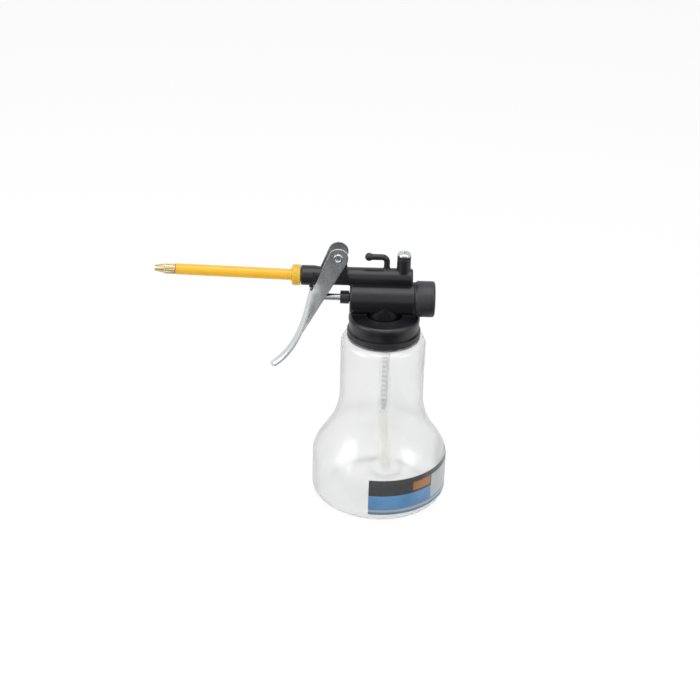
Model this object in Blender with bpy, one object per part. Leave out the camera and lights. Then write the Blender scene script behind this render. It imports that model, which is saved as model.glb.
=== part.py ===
"""Hand-pump oil can: bottle, screw collar, moulded pump head, sheet-metal lever and nozzle tube.

Sizes are in metres. Every piece is placed from the bottle's axis at the level it stands on, with the
nozzle towards -X and the lever hanging below it. The axis itself stands at AXIS_X, which centres the
whole can over the origin.
"""

import math

import bmesh
import bpy
from mathutils import Matrix, Vector

MM = 0.001

# Clearances
SEAT_GAP = 0.30 * MM
RUNNING_GAP = 0.15 * MM
SPRING_END_GAP = 0.10 * MM

# Bottle
BOTTLE_RADIUS = 43.65 * MM
BOTTLE_WALL = 0.90 * MM
HEEL_RADIUS = 6.0 * MM
FOOT_RING_WIDTH = 4.6 * MM
PUSH_UP_HEIGHT = 2.0 * MM
PUSH_UP_SLOPE = 2.2 * MM
BODY_TOP_Z = 27.0 * MM
SHOULDER_TOP_Z = 70.0 * MM
SHOULDER_TOP_RADIUS = 26.8 * MM
SHOULDER_LOW_LEAD = 13.0 * MM
SHOULDER_HIGH_LEAD = 26.0 * MM
SHOULDER_HIGH_LEAN = 2.7 * MM
CHIMNEY_RADIUS = 27.0 * MM
CHIMNEY_EDGE_RADIUS = 4.5 * MM
CHIMNEY_TOP_Z = 113.0 * MM
NECK_RING_RADIUS = 22.0 * MM
NECK_RING_HEIGHT = 1.1 * MM
NECK_RADIUS = 18.6 * MM
NECK_WALL = 1.4 * MM
NECK_LENGTH = 7.7 * MM

# Label
LABEL_BOTTOM_Z = 6.4 * MM
LABEL_TOP_Z = 31.7 * MM
LABEL_THICKNESS = 0.15 * MM
LABEL_GAP = 0.20 * MM
LABEL_HALF_ANGLE = math.radians(99.0)

# Flange and gasket on the bottle's rim
FLANGE_THICKNESS = 2.5 * MM
FLANGE_OVERHANG = 0.2 * MM
GASKET_THICKNESS = 1.5 * MM
GASKET_BORE_GAP = 0.1 * MM

# Screw collar
COLLAR_FOOT_GAP = 0.4 * MM
COLLAR_TOP_THICKNESS = 2.1 * MM
COLLAR_BAND_WALL = 3.85 * MM
COLLAR_BAND_HEIGHT = 3.8 * MM
COLLAR_BAND_EDGE = 0.4 * MM
COLLAR_GROOVE_HEIGHT = 1.1 * MM
COLLAR_WAIST_WALL = 2.8 * MM
COLLAR_WAIST_HEIGHT = 4.7 * MM
COLLAR_BEAD_WALL = 3.05 * MM
COLLAR_BEAD_RISE = 1.6 * MM
COLLAR_BEAD_ROUND = 1.1 * MM
COLLAR_THREAD_GAP = 0.6 * MM
COLLAR_HOLE_GAP = 0.8 * MM

# Pump cylinder
PUMP_RADIUS = 10.5 * MM
PUMP_FRONT_X = -22.1 * MM
PUMP_REAR_X = 18.2 * MM
PUMP_EDGE_ROUND = 1.2 * MM
PUMP_BORE_RADIUS = 8.0 * MM
PUMP_FRONT_WALL = 3.6 * MM
SPIGOT_RADIUS = 9.0 * MM
SPIGOT_LENGTH = 7.8 * MM
PUMP_NECK_RADIUS = 10.2 * MM

# Rear cap of the cylinder
CAP_LENGTH = 12.6 * MM
CAP_END_WALL = 2.5 * MM
CAP_ROUND = 1.9 * MM
CAP_SEAL_INNER_RADIUS = 8.2 * MM

# Barrel with the nozzle socket
BARREL_RISE = 14.5 * MM
BARREL_RADIUS = 5.75 * MM
BARREL_REAR_X = 16.85 * MM
BARREL_ROUND = 1.7 * MM
SOCKET_RADIUS = 6.25 * MM
SOCKET_FRONT_X = -53.3 * MM
SOCKET_LENGTH = 8.9 * MM
SOCKET_TAPER = 3.4 * MM
SOCKET_BORE_RADIUS = 4.3 * MM
SOCKET_BORE_DEPTH = 7.7 * MM
SOCKET_EDGE = 0.3 * MM
ROOT_DEPTH = 1.2 * MM
PASSAGE_RADIUS = 1.8 * MM
WEB_HALF_WIDTH = 3.6 * MM

# Lever lug
PIVOT_X = -29.7 * MM
PIVOT_RISE = 14.4 * MM
LUG_RADIUS = 5.6 * MM
LUG_HALF_WIDTH = 4.7 * MM
LUG_FOOT_FRONT_X = -35.0 * MM
LUG_FOOT_REAR_X = -24.0 * MM
FORK_FRONT_X = -45.2 * MM
FORK_REAR_X = -23.0 * MM
STOP_NUB_X = -46.2 * MM
STOP_NUB_RADIUS = 1.4 * MM
STOP_NUB_EDGE = 0.3 * MM

# Outlet valve post
POST_X = 10.9 * MM
POST_RADIUS = 4.0 * MM
POST_RISE = 7.95 * MM
OUTLET_PORT_RADIUS = 1.2 * MM
OUTLET_SEAT_DROP = 2.1 * MM
VALVE_CHAMBER_RADIUS = 2.6 * MM
SCREW_BORE_RADIUS = 2.3 * MM
SCREW_BORE_DEPTH = 6.3 * MM
OUTLET_BALL_RADIUS = 1.9 * MM
OUTLET_SPRING_RADIUS = 1.6 * MM
OUTLET_SPRING_WIRE = 0.4 * MM
OUTLET_SPRING_TURNS = 5
SCREW_HEAD_RADIUS = 4.2 * MM
SCREW_HEAD_HEIGHT = 2.2 * MM
SCREW_HEAD_ROUND = 1.6 * MM
SCREW_HEAD_CROWN = 0.1 * MM
SCREW_SHANK_RADIUS = 2.0 * MM
SCREW_LENGTH = 6.0 * MM
CROSS_RECESS_LENGTH = 4.4 * MM
CROSS_RECESS_WIDTH = 1.0 * MM
CROSS_RECESS_DEPTH = 1.3 * MM
OUTLET_SEAL_THICKNESS = 0.5 * MM

# Hook on top of the barrel
HOOK_X = 0.45 * MM
HOOK_RADIUS = 1.6 * MM
HOOK_RISE = 13.5 * MM
HOOK_BEND_RADIUS = 3.0 * MM
HOOK_TIP_X = -10.7 * MM
HOOK_BALL_RADIUS = 2.05 * MM
HOOK_FOOT_RADIUS = 2.6 * MM

# Lever, a folded sheet
SHEET = 1.2 * MM
LEVER_HALF_WIDTH = 6.2 * MM
EAR_RADIUS = 6.2 * MM
WEB_DISTANCE = 11.79 * MM
WEB_SLOPE = math.radians(12.5)
WEB_TOP_DROP = 23.1 * MM
WEB_STRAIGHT_DROP = 37.1 * MM
REAR_EDGE_SLOPE = math.radians(29.2)
FOLD_RADIUS = 1.7 * MM
FOLD_SPREAD = 2.0 * MM
GRIP_TIP_X = -71.8 * MM
GRIP_TIP_DROP = 76.6 * MM
GRIP_TIP_SLOPE = math.radians(56.0)
GRIP_CURVE_LEAD = 15.5 * MM
GRIP_DEPTH = 1.5 * MM
TAPER_TOP_DROP = 43.5 * MM
GRIP_TIP_HALF_WIDTH = 3.6 * MM

# Lever pin, a tubular rivet
PIN_RADIUS = 2.0 * MM
PIN_BORE_RADIUS = 0.95 * MM
PIN_HEAD_RADIUS = 2.9 * MM
PIN_HEAD_HEIGHT = 0.8 * MM
PIN_HEAD_EDGE = 0.2 * MM
PIN_MOUTH = 0.5 * MM

# Plunger
ROD_RADIUS = 2.2 * MM
ROD_REST_GAP = 0.35 * MM
PISTON_FRONT_X = -17.9 * MM
PISTON_LENGTH = 4.7 * MM
PISTON_GROOVE_DEPTH = 1.2 * MM
PISTON_GROOVE_WIDTH = 2.1 * MM
ROD_SOCKET_DEPTH = 2.9 * MM
GLAND_FIT = 0.25 * MM
GLAND_RADIUS = 4.15 * MM
GLAND_EDGE = 0.4 * MM
GLAND_LENGTH = 5.9 * MM
GLAND_SPIGOT_RADIUS = 2.95 * MM
GLAND_SPIGOT_LENGTH = 3.2 * MM
ROD_SEAL_RADIUS = 3.3 * MM
ROD_SEAL_LENGTH = 1.4 * MM
RETURN_SPRING_RADIUS = 5.5 * MM
RETURN_SPRING_WIRE = 1.0 * MM
RETURN_SPRING_TURNS = 9

# Nozzle
NUT_RADIUS = 6.3 * MM
NUT_LENGTH = 4.7 * MM
NUT_ROUND = 1.5 * MM
NUT_SPIGOT_LENGTH = 6.4 * MM
NUT_POCKET_DEPTH = 6.0 * MM
NOZZLE_SEAL_THICKNESS = 0.9 * MM
TUBE_RADIUS = 3.43 * MM
TUBE_WALL = 1.0 * MM
TUBE_RISE = math.radians(1.5)
TUBE_ROOT_X = -55.4 * MM
TUBE_END_X = -130.1 * MM
TIP_FLUTED_LENGTH = 6.9 * MM
TIP_RADIUS = 3.3 * MM
TIP_FLUTE_DEPTH = 0.25 * MM
TIP_FLUTES = 16
TIP_CONE_RADIUS = 2.8 * MM
TIP_MOUTH_RADIUS = 1.85 * MM
TIP_EDGE = 0.3 * MM
TIP_BORE_RADIUS = 0.7 * MM
TIP_SPIGOT_LENGTH = 5.0 * MM
TIP_END_X = -143.3 * MM

# Suction side
STEM_X = 1.9 * MM
STEM_RADIUS = 3.0 * MM
STEM_BORE_RADIUS = 2.4 * MM
STEM_UPPER_BORE_RADIUS = 1.7 * MM
STEM_SOCKET_DEPTH = 4.1 * MM
STEM_PORT_RADIUS = 2.0 * MM
STEM_LENGTH = 69.7 * MM
STEM_SHOULDER_DROP = 17.4 * MM
STEM_SPIGOT_RADIUS = 2.15 * MM
STEM_SPIGOT_LENGTH = 7.0 * MM
INLET_SEAT_RISE = 2.4 * MM
INLET_SEAT_RADIUS = 1.3 * MM
INLET_BALL_RADIUS = 2.0 * MM
INLET_SPRING_RADIUS = 1.9 * MM
INLET_SPRING_WIRE = 0.4 * MM
INLET_SPRING_TURNS = 18
FOOT_X = 4.4 * MM
FOOT_RADIUS = 10.75 * MM
FOOT_FLOOR_GAP = 9.4 * MM
FOOT_THICKNESS = 3.2 * MM
FOOT_EDGE = 0.6 * MM
FOOT_LIP_WIDTH = 1.4 * MM
FOOT_LIP_HEIGHT = 1.5 * MM
FOOT_NOTCH_WIDTH = 3.0 * MM
FOOT_NOTCH_HEIGHT = 1.2 * MM
FOOT_SPIGOT_HEIGHT = 6.5 * MM
FOOT_NOTCHES = 2

# Facets on a full turn
FINE_TURN = 40
COLLAR_TURN = 36
PUMP_TURN = 28
TUBE_TURN = 20
SMALL_TURN = 14

# Derived places: the axis, then upwards from the bottle's neck
AXIS_X = (-TIP_END_X - (BOTTLE_RADIUS + LABEL_GAP + LABEL_THICKNESS)) / 2
NECK_RING_TOP_Z = CHIMNEY_TOP_Z + NECK_RING_HEIGHT
NECK_TOP_Z = NECK_RING_TOP_Z + NECK_LENGTH
NECK_BORE_RADIUS = NECK_RADIUS - NECK_WALL
GASKET_BORE_RADIUS = NECK_BORE_RADIUS + GASKET_BORE_GAP
FLANGE_RADIUS = NECK_RADIUS + FLANGE_OVERHANG
FLANGE_BOTTOM_Z = NECK_TOP_Z + GASKET_THICKNESS + 2 * SEAT_GAP
FLANGE_TOP_Z = FLANGE_BOTTOM_Z + FLANGE_THICKNESS
COLLAR_TOP_Z = FLANGE_TOP_Z + SEAT_GAP + COLLAR_TOP_THICKNESS
COLLAR_BOTTOM_Z = NECK_RING_TOP_Z + COLLAR_FOOT_GAP
COLLAR_BORE_RADIUS = FLANGE_RADIUS + COLLAR_THREAD_GAP
COLLAR_BAND_RADIUS = COLLAR_BORE_RADIUS + COLLAR_BAND_WALL
COLLAR_WAIST_RADIUS = COLLAR_BORE_RADIUS + COLLAR_WAIST_WALL
COLLAR_BEAD_RADIUS = COLLAR_BORE_RADIUS + COLLAR_BEAD_WALL

# Derived places of the head
PUMP_Z = COLLAR_TOP_Z + SEAT_GAP + PUMP_RADIUS
BARREL_Z = PUMP_Z + BARREL_RISE
POST_TOP_Z = BARREL_Z + BARREL_RADIUS + POST_RISE
OUTLET_SEAT_Z = BARREL_Z - OUTLET_SEAT_DROP
HOOK_ARM_Z = BARREL_Z + HOOK_RISE
SCREW_BORE_BOTTOM_Z = POST_TOP_Z - SCREW_BORE_DEPTH
SCREW_SEAT_Z = POST_TOP_Z + OUTLET_SEAL_THICKNESS + 2 * SEAT_GAP
CAP_FRONT_X = PUMP_REAR_X + SEAT_GAP
CAP_REAR_X = CAP_FRONT_X + CAP_LENGTH
SPIGOT_REAR_X = PUMP_REAR_X + SPIGOT_LENGTH
PUMP_BORE_FRONT_X = PUMP_FRONT_X + PUMP_FRONT_WALL
PISTON_REAR_X = PISTON_FRONT_X + PISTON_LENGTH

# Derived places of the lever
PIVOT_Z = BARREL_Z + PIVOT_RISE
WEB_TOP_Z = PIVOT_Z - WEB_TOP_DROP
WEB_STRAIGHT_Z = PIVOT_Z - WEB_STRAIGHT_DROP
GRIP_TIP_Z = PIVOT_Z - GRIP_TIP_DROP
TAPER_TOP_Z = PIVOT_Z - TAPER_TOP_DROP

# Derived places of the suction side
STEM_TOP_Z = FLANGE_BOTTOM_Z + STEM_SOCKET_DEPTH - SEAT_GAP
STEM_SHOULDER_Z = STEM_TOP_Z - STEM_SHOULDER_DROP
STEM_END_Z = STEM_TOP_Z - STEM_LENGTH
INLET_SEAT_Z = STEM_END_Z + INLET_SEAT_RISE
FOOT_BOTTOM_Z = PUSH_UP_HEIGHT + BOTTLE_WALL + FOOT_FLOOR_GAP


def colour_material(name, colour, roughness, metallic=0.0, alpha=1.0):
    """Return a Principled material of one colour."""
    material = bpy.data.materials.new(name)
    material.use_nodes = True
    shader = material.node_tree.nodes["Principled BSDF"]
    shader.inputs["Base Color"].default_value = (*colour, 1.0)
    shader.inputs["Roughness"].default_value = roughness
    shader.inputs["Metallic"].default_value = metallic
    shader.inputs["Alpha"].default_value = alpha
    material.diffuse_color = (*colour, alpha)
    return material


def make_materials():
    """Return the finishes of the can by name."""
    return {
        "translucent": colour_material("translucent_plastic", (0.82, 0.84, 0.86), 0.30, alpha=0.45),
        "label": colour_material("label_film", (0.05, 0.16, 0.38), 0.35),
        "black": colour_material("black_moulding", (0.012, 0.012, 0.014), 0.38),
        "zinc": colour_material("zinc_plate", (0.62, 0.64, 0.66), 0.28, metallic=1.0),
        "steel": colour_material("bright_steel", (0.75, 0.76, 0.78), 0.20, metallic=1.0),
        "brass": colour_material("brass", (0.72, 0.52, 0.24), 0.30, metallic=1.0),
        "yellow": colour_material("yellow_plastic", (0.86, 0.80, 0.10), 0.35),
        "orange": colour_material("orange_plastic", (0.90, 0.50, 0.04), 0.35),
        "pale": colour_material("pale_plastic", (0.78, 0.77, 0.72), 0.45),
        "rubber": colour_material("black_rubber", (0.02, 0.02, 0.02), 0.70),
    }


def arc(centre, radius, start_degrees, end_degrees, steps):
    """Return the points of an arc in a plane, both ends included."""
    points = []
    for step in range(steps + 1):
        angle = math.radians(start_degrees + (end_degrees - start_degrees) * step / steps)
        points.append((centre[0] + radius * math.cos(angle), centre[1] + radius * math.sin(angle)))
    return points


def bezier(start, start_handle, end_handle, end, steps):
    """Return the points of a cubic curve in a plane, both ends included."""
    points = []
    for step in range(steps + 1):
        t = step / steps
        weights = ((1 - t) ** 3, 3 * t * (1 - t) ** 2, 3 * t * t * (1 - t), t ** 3)
        corners = (start, start_handle, end_handle, end)
        points.append(tuple(sum(w * c[i] for w, c in zip(weights, corners)) for i in (0, 1)))
    return points


def offset_inwards(outline, distance):
    """Return an open (radius, height) outline moved to the left of its own direction."""
    moved = []
    for index, point in enumerate(outline):
        before = Vector(outline[max(index - 1, 0)])
        after = Vector(outline[min(index + 1, len(outline) - 1)])
        here = Vector(point)
        sides = [side.normalized() for side in (here - before, after - here) if side.length > 0]
        normals = [Vector((-side.y, side.x)) for side in sides]
        normal = sum(normals, Vector((0.0, 0.0))).normalized()
        stretch = 1.0 / max(normal.dot(normals[0]), 0.5)
        moved.append(tuple(here + normal * distance * stretch))
    return moved


def tangent_point(centre, radius, point, side):
    """Return where a line from a point touches a circle; side is 1 or -1."""
    away = Vector(point) - Vector(centre)
    angle = math.atan2(away.y, away.x) + side * math.acos(radius / away.length)
    return (centre[0] + radius * math.cos(angle), centre[1] + radius * math.sin(angle))


def ring_section(start, end, bore, radius):
    """Return the section of a plain ring as (along, radius) points."""
    return [(start, bore), (start, radius), (end, radius), (end, bore)]


def turned(profile, segments, axis="Z", sweep_from=0.0, sweep=2 * math.pi):
    """Return a bmesh of a section of (along, radius) points spun about an axis.

    A section whose ends lie on the axis closes there; any other is a ring and closes on itself.
    """
    bm = bmesh.new()
    verts = [bm.verts.new((radius, 0.0, along)) for along, radius in profile]
    edges = [bm.edges.new(pair) for pair in zip(verts, verts[1:])]
    if profile[0][1] > 0 or profile[-1][1] > 0:
        edges.append(bm.edges.new((verts[-1], verts[0])))
    full_turn = sweep > 2 * math.pi - 0.01
    geometry = verts + edges
    if not full_turn:
        geometry.append(bm.faces.new(verts))
        bmesh.ops.rotate(bm, verts=verts, cent=(0, 0, 0), matrix=Matrix.Rotation(sweep_from, 3, "Z"))
    bmesh.ops.spin(bm, geom=geometry, cent=(0, 0, 0), axis=(0, 0, 1), angle=sweep, steps=segments)
    bmesh.ops.remove_doubles(bm, verts=bm.verts, dist=0.001 * MM)
    if axis == "X":
        bm.transform(Matrix.Rotation(math.pi / 2, 4, "Y"))
    if axis == "Y":
        bm.transform(Matrix.Rotation(-math.pi / 2, 4, "X"))
    bmesh.ops.recalc_face_normals(bm, faces=bm.faces)
    return bm


def ball(radius, segments=SMALL_TURN):
    """Return a bmesh of a sphere about the origin."""
    bm = bmesh.new()
    bmesh.ops.create_uvsphere(bm, u_segments=segments, v_segments=segments // 2, radius=radius)
    return bm


def box(low, high):
    """Return a bmesh of a block between two corners."""
    bm = bmesh.new()
    size = Vector(high) - Vector(low)
    middle = (Vector(high) + Vector(low)) / 2
    bmesh.ops.create_cube(bm, size=1.0, matrix=Matrix.Translation(middle) @ Matrix.Diagonal((*size, 1.0)))
    return bm


def plate(outline, half_width):
    """Return a bmesh of an XZ outline extruded to both sides of Y = 0."""
    bm = bmesh.new()
    face = bm.faces.new([bm.verts.new((x, -half_width, z)) for x, z in outline])
    extruded = bmesh.ops.extrude_face_region(bm, geom=[face])
    moved = [item for item in extruded["geom"] if isinstance(item, bmesh.types.BMVert)]
    bmesh.ops.translate(bm, verts=moved, vec=(0, 2 * half_width, 0))
    bmesh.ops.recalc_face_normals(bm, faces=bm.faces)
    return bm


def swept_rings(bm, path, radii, sides):
    """Add a ring of vertices round each point of a path, square to it, and return the rings."""
    points = [Vector(point) for point in path]
    rings = []
    across = None
    for index, point in enumerate(points):
        ahead = points[min(index + 1, len(points) - 1)] - points[max(index - 1, 0)]
        along = ahead.normalized()
        if across is None:
            across = along.orthogonal().normalized()
        across = (across - along * across.dot(along)).normalized()
        over = along.cross(across)
        ring = []
        for side in range(sides):
            angle = 2 * math.pi * side / sides
            reach = radii[index] * (across * math.cos(angle) + over * math.sin(angle))
            ring.append(bm.verts.new(point + reach))
        rings.append(ring)
    return rings


def skin_rings(bm, rings):
    """Join each ring of vertices to the next one with faces."""
    for ring, following in zip(rings, rings[1:]):
        count = len(ring)
        for side in range(count):
            turn = (side + 1) % count
            bm.faces.new((ring[side], ring[turn], following[turn], following[side]))


def solid_sweep(path, radii, sides):
    """Return a bmesh of a round bar along a path."""
    bm = bmesh.new()
    rings = swept_rings(bm, path, radii, sides)
    skin_rings(bm, rings)
    bm.faces.new(rings[0])
    bm.faces.new(rings[-1])
    bmesh.ops.recalc_face_normals(bm, faces=bm.faces)
    return bm


def tube_sweep(path, outer_radius, bore_radius, sides):
    """Return a bmesh of a tube along a path, open at both ends."""
    bm = bmesh.new()
    outer = swept_rings(bm, path, [outer_radius] * len(path), sides)
    inner = swept_rings(bm, path, [bore_radius] * len(path), sides)
    skin_rings(bm, outer + inner[::-1] + outer[:1])
    bmesh.ops.recalc_face_normals(bm, faces=bm.faces)
    return bm


def coil(radius, wire, length, turns, points_per_turn, sides):
    """Return a bmesh of a compression spring along +Z whose end turns lie flat."""
    total = turns * points_per_turn
    rise = length - wire
    path = []
    for index in range(total + 1):
        turn = index / points_per_turn
        dead = 0.75
        share = min(max((turn - dead) / (turns - 2 * dead), 0.0), 1.0)
        end_lift = wire * (min(turn, dead) + max(turn - (turns - dead), 0.0)) * 1.05
        height = end_lift + share * (rise - 2 * dead * wire * 1.05)
        angle = 2 * math.pi * turn
        path.append((radius * math.cos(angle), radius * math.sin(angle), wire / 2 + height))
    return solid_sweep(path, [wire / 2] * len(path), sides)


class Workshop:
    """Places the pieces of the can under the empty that stands on the bottle's axis."""

    def __init__(self):
        self.materials = make_materials()
        self.can_axis = self.empty("bottle_axis", None, (AXIS_X, 0, 0))

    def empty(self, name, parent, location, rotation=(0, 0, 0)):
        """Add an empty that carries pieces."""
        holder = bpy.data.objects.new(name, None)
        holder.parent = parent
        holder.location = location
        holder.rotation_euler = rotation
        bpy.context.scene.collection.objects.link(holder)
        return holder

    def mesh_object(self, name, bm, parent, location):
        """Turn a bmesh into an object."""
        mesh = bpy.data.meshes.new(name)
        bm.to_mesh(mesh)
        bm.free()
        thing = bpy.data.objects.new(name, mesh)
        thing.parent = parent or self.can_axis
        thing.location = location
        bpy.context.scene.collection.objects.link(thing)
        return thing

    def piece(self, name, bm, finish, location=(0, 0, 0), parent=None, sharp=35.0):
        """Add a piece of the can in its finish, smooth except at edges over the sharp angle."""
        thing = self.mesh_object(name, bm, parent, location)
        thing.data.materials.append(self.materials[finish])
        thing.data.shade_smooth()
        thing.data.set_sharp_from_angle(angle=math.radians(sharp))
        return thing

    def helper(self, name, bm, location=(0, 0, 0), parent=None):
        """Add a shape that only joins or cuts other pieces."""
        thing = self.mesh_object(name, bm, parent, location)
        thing.hide_render = True
        thing.display_type = "WIRE"
        return thing

    def combine(self, thing, other, operation, solver="EXACT"):
        """Join or cut a piece with a helper shape."""
        modifier = thing.modifiers.new(other.name, "BOOLEAN")
        modifier.operation = operation
        modifier.solver = solver
        modifier.object = other


def body_outline():
    """Return the bottle's outer (radius, height) outline from the push-up to the chimney's top edge."""
    heel_x = BOTTLE_RADIUS - HEEL_RADIUS
    ring_inner = heel_x - FOOT_RING_WIDTH
    outline = [(ring_inner - PUSH_UP_SLOPE, PUSH_UP_HEIGHT), (ring_inner, 0.0)]
    outline += arc((heel_x, HEEL_RADIUS), HEEL_RADIUS, -90, 0, 3)
    outline += bezier(
        (BOTTLE_RADIUS, BODY_TOP_Z),
        (BOTTLE_RADIUS, BODY_TOP_Z + SHOULDER_LOW_LEAD),
        (SHOULDER_TOP_RADIUS + SHOULDER_HIGH_LEAN, SHOULDER_TOP_Z - SHOULDER_HIGH_LEAD),
        (SHOULDER_TOP_RADIUS, SHOULDER_TOP_Z),
        8,
    )
    edge_centre = (CHIMNEY_RADIUS - CHIMNEY_EDGE_RADIUS, CHIMNEY_TOP_Z - CHIMNEY_EDGE_RADIUS)
    outline += arc(edge_centre, CHIMNEY_EDGE_RADIUS, 0, 90, 3)
    return outline


def build_bottle(shop):
    """Blow-moulded bottle with a foot ring, a push-up, a round shoulder and an open neck."""
    outer = body_outline()
    inner = offset_inwards(outer, BOTTLE_WALL)
    neck = [
        (NECK_RING_RADIUS, CHIMNEY_TOP_Z),
        (NECK_RING_RADIUS, NECK_RING_TOP_Z),
        (NECK_RADIUS, NECK_RING_TOP_Z),
        (NECK_RADIUS, NECK_TOP_Z),
        (NECK_BORE_RADIUS, NECK_TOP_Z),
        (NECK_BORE_RADIUS, inner[-1][1]),
    ]
    outline = [(0.0, PUSH_UP_HEIGHT)] + outer + neck + inner[::-1] + [(0.0, PUSH_UP_HEIGHT + BOTTLE_WALL)]
    section = [(height, radius) for radius, height in outline]
    shop.piece("bottle", turned(section, FINE_TURN), "translucent")


def wall_radius(level):
    """Return the radius of the bottle's outer wall at a height on its body or shoulder."""
    outline = body_outline()
    for below, above in zip(outline[1:], outline[2:]):
        if below[1] <= level <= above[1] and above[1] > below[1]:
            share = (level - below[1]) / (above[1] - below[1])
            return below[0] + (above[0] - below[0]) * share
    return BOTTLE_RADIUS


def build_label(shop):
    """Film label that follows the lower wall and stops where the shoulder turns in."""
    levels = [point[1] for point in body_outline() if LABEL_BOTTOM_Z < point[1] < LABEL_TOP_Z]
    levels = [LABEL_BOTTOM_Z] + levels + [LABEL_TOP_Z]
    back = [(level, wall_radius(level) + LABEL_GAP) for level in levels]
    front = [(level, radius + LABEL_THICKNESS) for level, radius in back]
    sweep = 2 * LABEL_HALF_ANGLE
    steps = round(FINE_TURN * sweep / (2 * math.pi))
    bm = turned(front + back[::-1], steps, sweep_from=-LABEL_HALF_ANGLE, sweep=sweep)
    shop.piece("label", bm, "label")


def build_collar(shop):
    """Screw collar with a plain lower band, a groove, a waist and a rounded top edge."""
    band_top = COLLAR_BOTTOM_Z + COLLAR_BAND_HEIGHT
    waist_bottom = band_top + COLLAR_GROOVE_HEIGHT
    waist_top = waist_bottom + COLLAR_WAIST_HEIGHT
    round_centre = (COLLAR_BEAD_RADIUS - COLLAR_BEAD_ROUND, COLLAR_TOP_Z - COLLAR_BEAD_ROUND)
    outline = [
        (COLLAR_BORE_RADIUS, COLLAR_BOTTOM_Z),
        (COLLAR_BAND_RADIUS - COLLAR_BAND_EDGE, COLLAR_BOTTOM_Z),
        (COLLAR_BAND_RADIUS, COLLAR_BOTTOM_Z + COLLAR_BAND_EDGE),
        (COLLAR_BAND_RADIUS, band_top - COLLAR_BAND_EDGE),
        (COLLAR_WAIST_RADIUS, waist_bottom),
        (COLLAR_WAIST_RADIUS, waist_top),
        (COLLAR_BEAD_RADIUS, waist_top + COLLAR_BEAD_RISE),
    ]
    outline += arc(round_centre, COLLAR_BEAD_ROUND, 0, 90, 3)
    hole = PUMP_NECK_RADIUS + COLLAR_HOLE_GAP
    outline += [
        (hole, COLLAR_TOP_Z),
        (hole, COLLAR_TOP_Z - COLLAR_TOP_THICKNESS),
        (COLLAR_BORE_RADIUS, COLLAR_TOP_Z - COLLAR_TOP_THICKNESS),
    ]
    section = [(height - COLLAR_BOTTOM_Z, radius) for radius, height in outline]
    shop.piece("screw_collar", turned(section, COLLAR_TURN), "black", (0, 0, COLLAR_BOTTOM_Z))


def build_gasket(shop):
    """Flat ring between the bottle's rim and the head's flange."""
    bottom = NECK_TOP_Z + SEAT_GAP
    top = bottom + GASKET_THICKNESS
    section = ring_section(bottom, top, GASKET_BORE_RADIUS, FLANGE_RADIUS)
    shop.piece("neck_gasket", turned(section, COLLAR_TURN), "rubber")


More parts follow.
